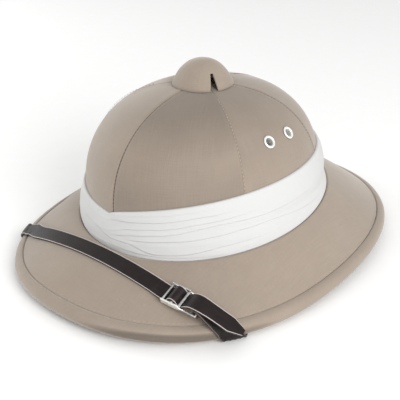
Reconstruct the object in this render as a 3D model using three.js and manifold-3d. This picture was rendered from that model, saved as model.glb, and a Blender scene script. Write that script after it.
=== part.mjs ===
// A pith helmet: a stiff pith crown and brim under cloth, six cloth gores, a bound rim, a wound
// cloth band (pugaree), a slotted ventilation cap, four eyelets and a leather chin strap that is
// worn over the front of the brim and closed there with a three-bar buckle.
// Millimetres, +Z up. The front of the helmet faces -Y and the wearer's left is +X. The origin is
// on the surface that the helmet rests on, under the middle of its box.
// Angles round the helmet are measured from the front, towards the wearer's left.

import * as THREE from 'three';
import { mergeVertices } from 'three/addons/utils/BufferGeometryUtils.js';
import { LoftGeometry } from 'three/addons/geometries/LoftGeometry.js';
import Module from 'manifold-3d';

const wasm = await Module();
wasm.setup();

// ---------- driving dimensions ----------

const GAP = 0.3; // left between neighbouring pieces
const CLOTH = 1.2; // thickness of the covering cloth
const PITH = 5; // thickness of the crown's pith wall
const FACETS = 48; // round the helmet

// The brim's outline is two half superellipses that meet at its widest line.
const BRIM = { halfWidth: 136.5, front: 168, back: 182, widestY: -7, frontPower: 2.25, backPower: 2 };
const BRIM_DROP = 8.5; // thickness of the brim, measured straight down
const BRIM_CROWNING = 1; // how far the brim's slope bows up between crown and rim
// How the rim's bottom waves up and down round the helmet.
const RIM_WAVE = { twice: -1.7, thrice: 2.9 };
const BACK_FLAT_DIP = 0.6; // the back rim would dip this far below the ground, and is flat there
const RIM_FRONT_HEIGHT = 10.4; // from the rim's bottom up to the binding's seam
const RIM_BACK_HEIGHT = 8;
const BINDING_WIDTH = 7; // from the rim's outermost line in to the binding's seam
// The rim's round edge, from the upper seam to the lower one, in shares of width and height.
const RIM_SECTION = [
  { out: -1, up: 1 },
  { out: -0.5, up: 0.92 },
  { out: -0.18, up: 0.74 },
  { out: 0, up: 0.4 },
  { out: -0.05, up: 0.12 },
  { out: -0.25, up: 0 },
  { out: -0.85, up: 0 },
  { out: -1.2, up: 0.1 },
];

// Where the band meets the brim: an ellipse in a plane that rises towards the back.
const BASE = { halfWidth: 98, halfLength: 108, frontZ: 34.5, backZ: 54.5 };
const CROWN_Y = -10.5; // middle of the crown
// The crown above the band is a dome with superellipse sections.
const DOME = { halfWidth: 89.5, halfLength: 102.5, bottomZ: 59, height: 77.5, rise: 2.25, draw: 2.5 };
const BAND_FOOT = 3.5; // thickness of the band where it meets the brim
const BAND_MIDDLE = 4.2;
const BAND_TOP = 2.4;
const BAND_NOTCH_ANGLE = -2.1; // where its upper edge is lowest, in degrees
const BAND_NOTCH_Z = 61.2;
const BAND_RISE = 23; // how much higher the edge is at the back
const BAND_LEFT_CLIMB = { steepness: 2.2, power: 0.75 }; // soon, on the wearer's left
const BAND_RIGHT_CLIMB = { early: 0.41, earlyPower: 0.8, latePower: 3 }; // and late on the right
const GORES = 6;
const VENT_RADIUS = 8;

const CAP = { radius: 23.25, height: 19.5, rimZ: 136, wall: 2 };
const CAP_SLITS = [60, 180, 300]; // degrees
const CAP_SLIT_WIDTH = 5;
const CAP_SLIT_HEIGHT = 14;
const POST = { flange: 13, flangeTop: 128.9, flangeThick: 2.2, stem: 4 };

const EYELET = { outer: 5.6, hole: 3, barrel: 3.9, flange: 1.1 };
const EYELET_Z = 108.5;
const EYELET_SPREAD = 9; // degrees to each side of the helmet's middle

const STRAP_WIDTH = 12.7;
const STRAP_THICK = 1.8;
const STRAP_GAP = 0.8; // between the strap and the cloth it is pulled down on
const STRAP_Y = -126.8; // the strap crosses the brim's front here
const STRAP_BACK_SWEEP = 8.5; // it has swept back this far at the binding
const STRAP_SEAM_X = 100; // it reaches the binding's seam about here
const STRAP_SEAM_ANGLE = 42.5; // degrees round the brim where it crosses that seam
const STRAP_SLANT = 45; // degrees between the strap and the square way over the rim
const STRAP_REST_ANGLE = 51; // degrees round the brim where the helmet stands on the strap
const STRAP_TIP_CUT = 10; // length of the pointed tip
const STRAP_TIP_WIDTH = 5.2;
const RIVET = { angle: 78, rise: 15, head: 3.6, shank: 1.5, headThick: 1.2, depth: 3 };

// The buckle lies along its own X, with +Z away from the brim. The loop that ends the short strap
// holds it tilted, its left bar low and its right bar clear of the brim.
const BUCKLE_X = 80; // its middle, across the helmet
const BUCKLE_TILT = 16;
const BUCKLE_RAISE = 3.3;
const BUCKLE = { halfLength: 15, wire: 1.6, railThick: 1.4, bars: 14.2, hiddenBar: -5.8 };
const BUCKLE_UPPER = { bottom: 2.6, top: 6.4, bar: 4.8 };
const BUCKLE_LOWER = { bottom: 2.8, top: 4.4, bar: 3.6 };
const HIDDEN_BAR_Z = 6.2;
const LOOP_LEAVES = 40; // degrees round the right bar where the short strap meets its loop
// The middle of the long strap in the buckle's frame as it threads through, and its free end.
const THREADING = [
  { along: -18.7, lift: 3.7 },
  { along: -15.2, lift: 2.7 },
  { along: -12.6, lift: 3 },
  { along: -10.4, lift: 4.9 },
  { along: -8.6, lift: 7.3 },
  { along: -5.8, lift: 8.7 },
  { along: -3.4, lift: 7.3 },
  { along: -2.1, lift: 4.4 },
  { along: 0, lift: 2.6 },
  { along: 2.2, lift: 4.2 },
  { along: 5.5, lift: 6.6 },
  { along: 10, lift: 8.8 },
  { along: 14.5, lift: 9 },
  { along: 18.7, lift: 7.2, roll: 0.05, across: 0.3 },
  { along: 24.1, lift: 4, roll: 0.12, across: 0.8 },
  { along: 35.7, lift: -3.1, roll: 0.14, across: 1.7 },
  { along: 45.5, lift: -8.2, roll: 0.14, across: 2.4 },
];

const MATERIALS = {
  khakiCloth: { color: 0xb5a493, roughness: 0.9, metalness: 0 },
  whiteCloth: { color: 0xeae9e4, roughness: 0.9, metalness: 0 },
  pith: { color: 0xcdbb98, roughness: 0.95, metalness: 0 },
  leather: { color: 0x2a2120, roughness: 0.45, metalness: 0 },
  nickel: { color: 0xc9c9c6, roughness: 0.25, metalness: 1 },
};

// ---------- geometry helpers ----------

const radians = THREE.MathUtils.degToRad;
const lerp = THREE.MathUtils.lerp;
const HALF_WALL = STRAP_THICK / 2;
const ACROSS = [1, 0.5, 0, -0.5, -1]; // a strap's places across, in shares of half its width

// A closed mesh with shared corners and no empty triangles, facing outwards.
function closed(geometry) {
  const bare = new THREE.BufferGeometry();
  bare.setAttribute('position', geometry.getAttribute('position'));
  if (geometry.index) bare.setIndex(geometry.index);
  const merged = mergeVertices(bare, 1e-3);
  const corners = merged.getAttribute('position');
  const index = merged.index.array;
  const kept = [];
  let volume = 0;
  for (let i = 0; i < index.length; i += 3) {
    const [a, b, c] = index.slice(i, i + 3);
    if (a === b || b === c || c === a) continue;
    kept.push(a, b, c);
    const [p, q, r] = [a, b, c].map((k) => new THREE.Vector3().fromBufferAttribute(corners, k));
    volume += p.dot(q.cross(r));
  }
  if (volume < 0) kept.reverse();
  merged.setIndex(kept);
  return merged;
}

function toManifold(geometry) {
  const merged = closed(geometry);
  return new wasm.Manifold(new wasm.Mesh({
    numProp: 3,
    vertProperties: new Float32Array(merged.getAttribute('position').array),
    triVerts: new Uint32Array(merged.index.array),
  }));
}

function fromManifold(manifold) {
  const mesh = manifold.getMesh();
  const geometry = new THREE.BufferGeometry();
  geometry.setAttribute('position', new THREE.BufferAttribute(new Float32Array(mesh.vertProperties), 3));
  geometry.setIndex(Array.from(mesh.triVerts));
  return geometry;
}

function cut(geometry, tools) {
  let solid = toManifold(geometry);
  for (const tool of tools) solid = solid.subtract(toManifold(tool));
  return fromManifold(solid);
}

function join(geometries) {
  const [first, ...others] = geometries.map(toManifold);
  return fromManifold(others.reduce((sum, next) => sum.add(next), first));
}

// A ring through sections that are worked out all the way round the helmet.
function ring(sectionAt) {
  const sections = [];
  for (let i = 0; i <= FACETS; i++) {
    sections.push(sectionAt((i % FACETS) / FACETS * 2 * Math.PI));
  }
  return closed(new LoftGeometry(sections));
}

// ---------- the helmet's surfaces ----------

// A point of a superellipse whose front and back halves may differ, seen from its middle.
function outline(angle, halfWidth, front, back, middleY, frontPower, backPower) {
  const [s, c] = [Math.sin(angle), Math.cos(angle)];
  const [length, power] = c > 0 ? [front, frontPower] : [back, backPower];
  const sum = Math.abs(s / halfWidth) ** power + Math.abs(c / length) ** power;
  const reach = sum ** (-1 / power);
  return new THREE.Vector2(reach * s, middleY - reach * c);
}

function rimOutline(angle) {
  const { halfWidth, front, back, widestY, frontPower, backPower } = BRIM;
  return outline(angle, halfWidth, front, back, widestY, frontPower, backPower);
}

// The level way out of the rim, square to its outline.
function rimOutward(angle) {
  const step = 0.01;
  const along = rimOutline(angle + step).sub(rimOutline(angle - step)).normalize();
  return new THREE.Vector2(-along.y, along.x).negate();
}

const rimWave = (angle) => RIM_WAVE.twice * Math.cos(2 * angle) + RIM_WAVE.thrice * Math.cos(3 * angle);

// The rim's tilt and level let it stand on its back and on the strap's two crossings.
const REST_ANGLE = radians(STRAP_REST_ANGLE);
const RIM_TILT = (STRAP_THICK + STRAP_GAP + BACK_FLAT_DIP - rimWave(REST_ANGLE) + rimWave(Math.PI))
  / (1 + Math.cos(REST_ANGLE));
const RIM_LEVEL = RIM_TILT - rimWave(Math.PI) - BACK_FLAT_DIP;

function rimBottom(angle) {
  return Math.max(0, RIM_LEVEL + RIM_TILT * Math.cos(angle) + rimWave(angle));
}

function rimHeight(angle) {
  return lerp(RIM_BACK_HEIGHT, RIM_FRONT_HEIGHT, (1 + Math.cos(angle)) / 2);
}

// The points of the rim's section at an angle, moved out of the brim by offset.
function rimRow(angle, offset) {
  const edge = rimOutline(angle);
  const outward = rimOutward(angle);
  const flat = RIM_SECTION.map(({ out, up }) => new THREE.Vector2(
    out * BINDING_WIDTH,
    rimBottom(angle) + up * rimHeight(angle),
  ));
  return flat.map((point, i) => {
    const before = flat[Math.max(i - 1, 0)];
    const after = flat[Math.min(i + 1, flat.length - 1)];
    const along = after.clone().sub(before).normalize();
    const moved = point.clone().add(new THREE.Vector2(-along.y, along.x).multiplyScalar(offset));
    return new THREE.Vector3(edge.x + outward.x * moved.x, edge.y + outward.y * moved.x, moved.y);
  });
}

function baseZ(angle) {
  return lerp(BASE.backZ, BASE.frontZ, (1 + Math.cos(angle)) / 2);
}

function basePoint(angle) {
  const { halfWidth, halfLength } = BASE;
  const flat = outline(angle, halfWidth, halfLength, halfLength, CROWN_Y, 2, 2);
  return new THREE.Vector3(flat.x, flat.y, baseZ(angle));
}

// The brim's upper surface: share 0 is at the band's foot and 1 at the binding's seam.
function brimTop(angle, share) {
  const point = basePoint(angle).lerp(rimRow(angle, 0)[0], share);
  point.z += BRIM_CROWNING * 4 * share * (1 - share);
  return point;
}

// The crown's cloth surface at an angle and a height, moved into the crown by inset.
function crownPoint(angle, z, inset) {
  const { halfWidth, halfLength, bottomZ, height, rise, draw } = DOME;
  let [wide, long] = [halfWidth, halfLength];
  if (z > bottomZ) {
    const climb = Math.min((z - bottomZ) / (height - inset), 1) ** (rise / 2);
    const share = Math.sqrt(1 - climb * climb) ** (2 / draw);
    wide = (wide - inset) * share;
    long = (long - inset) * share;
  } else {
    const flare = Math.min((bottomZ - z) / (bottomZ - baseZ(angle)), 1);
    wide = lerp(wide, BASE.halfWidth - BAND_FOOT, flare) - inset;
    long = lerp(long, BASE.halfLength - BAND_FOOT, flare) - inset;
  }
  const flat = outline(angle, wide, long, long, CROWN_Y, 2, 2);
  return new THREE.Vector3(flat.x, flat.y, z);
}

// The way out of the crown's cloth at a point.
function crownOutward(angle, z) {
  const step = 0.02;
  const round = crownPoint(angle + step, z, 0).sub(crownPoint(angle - step, z, 0));
  const up = crownPoint(angle, z + 0.5, 0).sub(crownPoint(angle, z - 0.5, 0));
  return round.cross(up).normalize();
}

// The rows of a crown wall's section, from its lower edge to the vent hole. A row moves round the
// crown by shift, in millimetres, so that two gores keep their distance all the way up.
const DOME_CLIMB = [0, 0.25, 0.48, 0.68, 0.84, 0.95];
function crownRows(angle, inset, shift = 0) {
  const domeHeight = DOME.height - inset;
  const ventShare = (VENT_RADIUS / DOME.halfWidth) ** (DOME.draw / 2);
  const ventClimb = Math.sqrt(1 - ventShare * ventShare) ** (2 / DOME.rise);
  const heights = [baseZ(angle) - BRIM_DROP, baseZ(angle)];
  for (const climb of [...DOME_CLIMB, ventClimb]) {
    heights.push(DOME.bottomZ + climb * domeHeight);
  }
  return heights.map((z) => {
    const { x, y } = crownPoint(angle, z, inset);
    return crownPoint(angle + shift / Math.hypot(x, y - CROWN_Y), z, inset);
  });
}

// ---------- crown, gores, brim and binding ----------

function wallSection(outer, inner) {
  return [...outer, ...inner.reverse()];
}

function crownShell() {
  const cloth = CLOTH + GAP;
  return ring((angle) => wallSection(crownRows(angle, cloth), crownRows(angle, cloth + PITH)));
}

function crownPanel(number) {
  const steps = FACETS / GORES;
  const sweep = 2 * Math.PI / GORES;
  const sections = [];
  for (let i = 0; i <= steps; i++) {
    const angle = sweep * (number + i / steps);
    const shift = GAP / 2 * (1 - 2 * i / steps);
    sections.push(wallSection(crownRows(angle, CLOTH, shift), crownRows(angle, 0, shift)));
  }
  return closed(new LoftGeometry(sections, { capStart: true, capEnd: true }));
}

function brim() {
  return ring((angle) => {
    const collar = crownPoint(angle, baseZ(angle), -GAP);
    const outward = rimOutward(angle);
    const rim = rimRow(angle, -CLOTH - GAP);
    const [seam, lowerSeam] = [rimRow(angle, 0)[0], rimRow(angle, 0).at(-1)];
    for (const point of [seam, lowerSeam]) {
      point.x -= outward.x * 2 * GAP;
      point.y -= outward.y * 2 * GAP;
    }
    const top = [0, 0.25, 0.5, 0.75].map((share) => brimTop(angle, share));
    const under = [0.65, 0.3].map((share) => {
      const point = brimTop(angle, share);
      point.z = Math.max(point.z - BRIM_DROP, lowerSeam.z);
      return point;
    });
    const foot = collar.clone();
    foot.z -= BRIM_DROP;
    return [collar, ...top, seam, ...rim, lowerSeam, ...under, foot];
  });
}

function brimBinding() {
  return ring((angle) => wallSection(rimRow(angle, 0), rimRow(angle, -CLOTH)));
}

// ---------- pugaree ----------

function bandTopZ(angle) {
  const turn = angle - radians(BAND_NOTCH_ANGLE);
  const away = Math.abs(Math.sin(turn / 2));
  const { steepness, power } = BAND_LEFT_CLIMB;
  const { early, earlyPower, latePower } = BAND_RIGHT_CLIMB;
  const share = Math.sin(turn) > 0
    ? (1 - (1 - away) ** steepness) ** power
    : lerp(away ** latePower, away ** earlyPower, early);
  return BAND_NOTCH_Z + BAND_RISE * share;
}

const BAND_SECTION = [
  { climb: 0, thick: BAND_FOOT },
  { climb: 0.15, thick: BAND_MIDDLE },
  { climb: 0.4, thick: BAND_MIDDLE },
  { climb: 0.7, thick: BAND_MIDDLE },
  { climb: 0.92, thick: BAND_TOP + 0.6 },
  { climb: 1, thick: BAND_TOP },
];

function pugaree() {
  return ring((angle) => {
    const [low, high] = [baseZ(angle) + GAP, bandTopZ(angle)];
    const heights = BAND_SECTION.map(({ climb }) => lerp(low, high, climb));
    const outer = heights.map((z, i) => crownPoint(angle, z, -BAND_SECTION[i].thick));
    return wallSection(outer, heights.map((z) => crownPoint(angle, z, -2 * GAP)));
  });
}

// ---------- ventilation cap and eyelets ----------

function ventCap() {
  const { radius, height, wall } = CAP;
  const rows = 6;
  const arc = (r, h) => Array.from({ length: rows + 1 }, (_, i) => {
    const turn = (i / rows) * Math.PI / 2;
    return new THREE.Vector2(r * Math.cos(turn), h * Math.sin(turn));
  });
  const profile = [...arc(radius, height), ...arc(radius - wall, height - wall).reverse()];
  profile.push(profile[0].clone());
  const bowl = new THREE.LatheGeometry(profile, 24).rotateX(Math.PI / 2);
  const slits = CAP_SLITS.map((degrees) => {
    const slit = new THREE.BoxGeometry(CAP_SLIT_WIDTH, radius, 2 * CAP_SLIT_HEIGHT);
    slit.translate(0, -radius * 0.85, 0);
    return slit.rotateZ(radians(degrees));
  });
  return cut(bowl, slits).translate(0, CROWN_Y, CAP.rimZ);
}

function ventPost() {
  const { flange, flangeTop, flangeThick, stem } = POST;
  const top = CAP.rimZ + CAP.height - CAP.wall - 3 * GAP;
  const profile = [[0, flangeTop - flangeThick], [flange, flangeTop - flangeThick],
    [flange, flangeTop], [stem, flangeTop], [stem, top], [0, top]];
  const points = profile.map(([r, z]) => new THREE.Vector2(r, z));
  return closed(new THREE.LatheGeometry(points, 16).rotateX(Math.PI / 2).translate(0, CROWN_Y, 0));
}

// The frame of a piece set into the crown: its Z points straight out of the cloth.
function crownFrame(angle, z) {
  const outward = crownOutward(angle, z);
  const turn = new THREE.Quaternion().setFromUnitVectors(new THREE.Vector3(0, 0, 1), outward);
  return new THREE.Matrix4().compose(crownPoint(angle, z, 0), turn, new THREE.Vector3(1, 1, 1));
}

function eyelet(frame) {
  const { outer, hole, barrel, flange } = EYELET;
  const depth = CLOTH + GAP + PITH;
  const profile = [[hole, -depth], [barrel, -depth], [barrel, GAP], [outer, GAP],
    [outer, GAP + flange * 0.4], [(outer + hole) / 2, GAP + flange], [hole, GAP + flange * 0.5],
    [hole, -depth]];
  const points = profile.map(([r, z]) => new THREE.Vector2(r, z));
  return closed(new THREE.LatheGeometry(points, 12).rotateX(Math.PI / 2).applyMatrix4(frame));
}

function eyeletHole(frame) {
  const bore = new THREE.CylinderGeometry(EYELET.barrel + GAP, EYELET.barrel + GAP, 30, 12);
  return bore.rotateX(Math.PI / 2).applyMatrix4(frame);
}

// ---------- chin strap ----------

// The point of the brim's upper surface above a place on the ground, and the way out of it.
function brimSurface(x, y) {
  let [low, high] = [Math.atan2(x, CROWN_Y - y) - 0.4, Math.atan2(x, CROWN_Y - y) + 0.4];
  const miss = (angle) => {
    const [from, to] = [brimTop(angle, 0), brimTop(angle, 1)];
    return (to.x - from.x) * (y - from.y) - (to.y - from.y) * (x - from.x);
  };
  const sign = Math.sign(miss(low));
  for (let i = 0; i < 40; i++) {
    const angle = (low + high) / 2;
    if (Math.sign(miss(angle)) === sign) low = angle;
    else high = angle;
  }
  const [from, to] = [brimTop(low, 0), brimTop(low, 1)];
  const share = Math.hypot(x - from.x, y - from.y) / Math.hypot(to.x - from.x, to.y - from.y);
  return brimTop(low, share);
}

function brimOutward(x, y) {
  const step = 0.5;
  const across = brimSurface(x + step, y).sub(brimSurface(x - step, y));
  const back = brimSurface(x, y + step).sub(brimSurface(x, y - step));
  return across.cross(back).normalize();
}

const strapY = (x) => STRAP_Y + STRAP_BACK_SWEEP * (x / STRAP_SEAM_X) ** 4;

// A station of a strap: the middle of its wall and the way its finished face looks.
const station = (middle, face) => ({ middle, face: face.clone().normalize() });

function stationOnBrim(x, lift) {
  const face = brimOutward(x, strapY(x));
  return station(brimSurface(x, strapY(x)).addScaledVector(face, lift), face);
}

function buckleFrame() {
  const out = brimOutward(BUCKLE_X, strapY(BUCKLE_X));
  const foot = brimSurface(BUCKLE_X, strapY(BUCKLE_X));
  const along = brimSurface(BUCKLE_X + 1, strapY(BUCKLE_X + 1)).sub(foot);
  const across = out.clone().cross(along).normalize();
  along.crossVectors(across, out);
  return new THREE.Matrix4().makeBasis(along, across, out)
    .setPosition(foot.addScaledVector(out, BUCKLE_RAISE))
    .multiply(new THREE.Matrix4().makeRotationY(-radians(BUCKLE_TILT)));
}

function stationInBuckle(along, across, lift, face) {
  const frame = buckleFrame();
  return station(new THREE.Vector3(along, across, lift).applyMatrix4(frame), face.transformDirection(frame));
}

// A place on the brim and round its rim, lifted off the cloth: out is the way past the binding's
// upper seam, and it is below zero on the brim's slope.
const RIM_LAST = RIM_SECTION.length - 2;
function overRim(angle, out, lift) {
  if (out <= 0) {
    const slope = brimTop(angle, 0).distanceTo(brimTop(angle, 1));
    const point = brimTop(angle, 1 + out / slope);
    return point.addScaledVector(brimOutward(point.x, point.y), lift);
  }
  const [row, lifted] = [rimRow(angle, 0), rimRow(angle, lift)];
  let left = out;
  for (let i = 0; i < RIM_LAST; i++) {
    const length = row[i].distanceTo(row[i + 1]);
    if (left <= length) return lifted[i].lerp(lifted[i + 1], left / length);
    left -= length;
  }
  const outward = rimOutward(angle);
  lifted[RIM_LAST].z = rimBottom(angle) - lift;
  return lifted[RIM_LAST].add(new THREE.Vector3(-outward.x, -outward.y, 0).multiplyScalar(left));
}

const RIM_LENGTH = rimRow(REST_ANGLE, 0).slice(0, RIM_LAST)
  .reduce((sum, point, i) => sum + point.distanceTo(rimRow(REST_ANGLE, 0)[i + 1]), 0);

// Sections of a strap that folds over the rim on one side (+1 is the wearer's left). It keeps its
// slant to the rim, so it is bent about the rim's line and not square across itself.
function foldSections(side, lift, from, to, steps) {
  const slant = radians(STRAP_SLANT);
  const reach = rimOutline(REST_ANGLE).length();
  const sections = [];
  for (let i = 0; i <= steps; i++) {
    const travelled = lerp(from, to, i / steps);
    const place = (share, rise) => {
      const across = side * share * STRAP_WIDTH / 2;
      const out = travelled * Math.cos(slant) - across * Math.sin(slant);
      const round = travelled * Math.sin(slant) + across * Math.cos(slant);
      return overRim(side * (radians(STRAP_SEAM_ANGLE) + round / reach), out, lift + rise);
    };
    sections.push([
      ...ACROSS.map((share) => place(share, HALF_WALL)),
      ...ACROSS.map((share) => place(-share, -HALF_WALL)),
    ]);
  }
  return sections;
}

// The same sections for a strap that runs the other way.
function turnedBack(sections) {
  const half = ACROSS.length;
  const turned = sections.map((points) => (
    [...points.slice(0, half).reverse(), ...points.slice(half).reverse()]
  ));
  return turned.reverse();
}

function middleOf(section) {
  const half = (ACROSS.length - 1) / 2;
  const [outer, inner] = [section[half], section[half + ACROSS.length]];
  return station(outer.clone().lerp(inner, 0.5), outer.clone().sub(inner));
}

// Flat sections along a curve through stations. widthAt says how wide the strap is at a distance
// from the curve's end.
function flatSections(stations, steps, widthAt = () => STRAP_WIDTH) {
  const curve = (points) => new THREE.CatmullRomCurve3(points, false, 'centripetal');
  const middles = curve(stations.map(({ middle }) => middle));
  const tips = curve(stations.map(({ middle, face }) => middle.clone().add(face)));
  const sections = [];
  for (let i = 1; i < steps; i++) {
    const t = middles.getUtoTmapping(i / steps);
    const along = middles.getTangent(t);
    const middle = middles.getPoint(t);
    const face = tips.getPoint(t).sub(middle);
    face.addScaledVector(along, -face.dot(along)).normalize();
    const across = face.clone().cross(along);
    const width = widthAt((1 - i / steps) * middles.getLength());
    const place = (share, rise) => middle.clone()
      .addScaledVector(across, share * width / 2)
      .addScaledVector(face, rise);
    sections.push([
      ...ACROSS.map((share) => place(share, HALF_WALL)),
      ...ACROSS.map((share) => place(-share, -HALF_WALL)),
    ]);
  }
  return sections;
}

const strip = (sections) => closed(new LoftGeometry(sections, { capStart: true, capEnd: true }));

// Stations from under the rim to past the rivet inside the crown.
function hiddenStations(side, underRim) {
  const inner = CLOTH + GAP + PITH;
  const wall = (degrees, rise, clear) => {
    const angle = side * radians(degrees);
    const z = baseZ(angle) - BRIM_DROP + rise;
    const out = crownOutward(angle, z);
    return station(crownPoint(angle, z, inner + clear), new THREE.Vector3(-out.x, -out.y, 0));
  };
  const corner = wall(RIVET.angle - 14, -4, 3.5);
  corner.face.add(new THREE.Vector3(0, 0, -1)).normalize();
  const under = station(underRim.middle.clone().lerp(corner.middle, 0.45), underRim.face);
  under.middle.z -= 3;
  const clear = HALF_WALL + 7 * GAP;
  const rises = [{ back: 7, rise: 7 }, { back: 0, rise: RIVET.rise }, { back: -3, rise: RIVET.rise + 5 }];
  const onWall = rises.map(({ back, rise }) => wall(RIVET.angle - back, rise, clear));
  return [underRim, under, corner, ...onWall];
}

const ON_BRIM = STRAP_GAP + HALF_WALL;
const FOLD_START = -12; // travelled from the seam
const BUCKLE_FOLD_START = 7;
const FOLD_END = (RIM_LENGTH + 2) / Math.cos(radians(STRAP_SLANT));

function rivetStation(side) {
  const fold = foldSections(side, ON_BRIM, FOLD_START, FOLD_END, 1);
  return hiddenStations(side, middleOf(fold[1])).at(-2);
}

// The stretch that both straps have: from the rivet under the brim and over the rim.
function anchoredSections(side) {
  const fold = foldSections(side, ON_BRIM, side < 0 ? FOLD_START : BUCKLE_FOLD_START, FOLD_END, 24);
  const hidden = hiddenStations(side, middleOf(fold.at(-1)));
  return [...flatSections(hidden.reverse(), 12), ...turnedBack(fold)];
}

function longStrap() {
  const anchored = anchoredSections(-1);
  const run = [middleOf(anchored.at(-1))];
  for (const x of [-80, -65, -50, -25, 0, 25, 45, 54]) run.push(stationOnBrim(x, ON_BRIM));
  const threaded = [run.at(-1)];
  for (const { along, lift, across = 0, roll = 0 } of THREADING)
    threaded.push(stationInBuckle(along, across, lift, new THREE.Vector3(0, roll, 1)));
  const tip = (left) => lerp(STRAP_TIP_WIDTH, STRAP_WIDTH, Math.min(left / STRAP_TIP_CUT, 1));
  return strip([...anchored, ...flatSections(run, 28), ...flatSections(threaded, 70, tip)]);
}

function shortStrap() {
  const { wire, bars } = BUCKLE;
  const anchored = anchoredSections(1);
  const round = wire / 2 + 2 * GAP + HALF_WALL;
  // A place on the loop, or past its end along the way it leaves the bar.
  const loop = (degrees, past = 0) => {
    const [c, s] = [Math.cos(radians(degrees)), Math.sin(radians(degrees))];
    const [goX, goZ] = [Math.sin(radians(LOOP_LEAVES)), -Math.cos(radians(LOOP_LEAVES))];
    const [x, z] = [bars + round * c + past * goX, BUCKLE_LOWER.bar + round * s + past * goZ];
    return stationInBuckle(x, 0, z, new THREE.Vector3(c, 0, s));
  };
  const stations = [middleOf(anchored.at(-1)), loop(LOOP_LEAVES, 5)];
  for (let turn = 0; turn <= 180; turn += 45) stations.push(loop(LOOP_LEAVES + turn));
  stations.push(loop(LOOP_LEAVES + 180, 3.5), loop(LOOP_LEAVES + 180, 7));
  return strip([...anchored, ...flatSections(stations, 30)]);
}

function box(from, to) {
  const size = to.map((value, i) => value - from[i]);
  const middle = to.map((value, i) => (value + from[i]) / 2);
  return new THREE.BoxGeometry(...size).translate(...middle);
}

function buckle() {
  const { halfLength, wire, railThick, bars, hiddenBar } = BUCKLE;
  const inside = STRAP_WIDTH / 2 + 0.5;
  const outside = inside + railThick;
  const pieces = [];
  for (const side of [-1, 1]) {
    const [from, to] = side < 0 ? [-outside, -inside] : [inside, outside];
    pieces.push(box([-halfLength, from, BUCKLE_UPPER.bottom], [wire / 2, to, BUCKLE_UPPER.top]));
    pieces.push(box([-wire / 2, from, BUCKLE_LOWER.bottom], [halfLength, to, BUCKLE_LOWER.top]));
  }
  const places = [[-bars, BUCKLE_UPPER.bar], [0, BUCKLE_UPPER.bar], [hiddenBar, HIDDEN_BAR_Z],
    [bars, BUCKLE_LOWER.bar]];
  for (const [x, z] of places) {
    const bar = new THREE.CylinderGeometry(wire / 2, wire / 2, 2 * inside + railThick, 12);
    pieces.push(bar.translate(x, 0, z));
  }
  return join(pieces).applyMatrix4(buckleFrame());
}

// ---------- rivets ----------

// The rivet's frame: the end of the strap inside the crown, with Z into the crown's wall.
function rivetFrame(side) {
  const { middle, face } = rivetStation(side);
  const turn = new THREE.Quaternion().setFromUnitVectors(new THREE.Vector3(0, 0, 1), face.clone().negate());
  return new THREE.Matrix4().compose(middle, turn, new THREE.Vector3(1, 1, 1));
}

function rivet(side) {
  const { head, shank, headThick, depth } = RIVET;
  const face = -HALF_WALL - GAP;
  const profile = [[0, face - headThick], [head * 0.7, face - headThick], [head, face - headThick / 2],
    [head, face], [shank, face], [shank, HALF_WALL + depth], [0, HALF_WALL + depth]];
  const points = profile.map(([r, z]) => new THREE.Vector2(r, z));
  const turned = new THREE.LatheGeometry(points, 12).rotateX(Math.PI / 2);
  return closed(turned.applyMatrix4(rivetFrame(side)));
}

function rivetHole(side) {
  const deep = HALF_WALL + RIVET.depth + GAP;
  const bore = new THREE.CylinderGeometry(RIVET.shank + GAP, RIVET.shank + GAP, 2 * deep, 12);
  return bore.rotateX(Math.PI / 2).applyMatrix4(rivetFrame(side));
}

// ---------- assembly ----------

const helmet = new THREE.Group();

function add(name, geometry, finish) {
  const mesh = new THREE.Mesh(geometry, new THREE.MeshStandardMaterial(MATERIALS[finish]));
  mesh.name = name;
  helmet.add(mesh);
}

const eyeletPlaces = [];
for (const side of [1, -1]) {
  for (const spread of [-EYELET_SPREAD, EYELET_SPREAD]) {
    const angle = radians(side * (90 + spread));
    eyeletPlaces.push({ angle, frame: crownFrame(angle, EYELET_Z) });
  }
}
const eyeletHoles = eyeletPlaces.map(({ frame }) => eyeletHole(frame));

add('crown_shell', cut(crownShell(), [...eyeletHoles, rivetHole(1), rivetHole(-1)]), 'pith');
for (let number = 0; number < GORES; number++) {
  add(`crown_panel_${number + 1}`, cut(crownPanel(number), eyeletHoles), 'khakiCloth');
}
add('brim', brim(), 'khakiCloth');
add('brim_binding', brimBinding(), 'khakiCloth');
add('pugaree', pugaree(), 'whiteCloth');
add('vent_cap', ventCap(), 'khakiCloth');
add('vent_post', ventPost(), 'nickel');
eyeletPlaces.forEach(({ frame }, i) => add(`eyelet_${i + 1}`, eyelet(frame), 'nickel'));
add('strap_long', cut(longStrap(), [rivetHole(-1)]), 'leather');
add('strap_short', cut(shortStrap(), [rivetHole(1)]), 'leather');
add('buckle', buckle(), 'nickel');
add('strap_rivet_left', rivet(1), 'nickel');
add('strap_rivet_right', rivet(-1), 'nickel');

export default helmet;
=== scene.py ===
"""The visible pieces of a pith helmet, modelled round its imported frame.

Shapes are worked out in millimetres and brought to metres when a piece is finished. Angles round
the helmet are in radians from the front, which is -Y, towards the wearer's left, which is +X.
"""

from math import atan2, cos, exp, hypot, pi, radians, sin, sqrt, tau

import bmesh
import bpy
from mathutils import Matrix, Vector, noise


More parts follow.
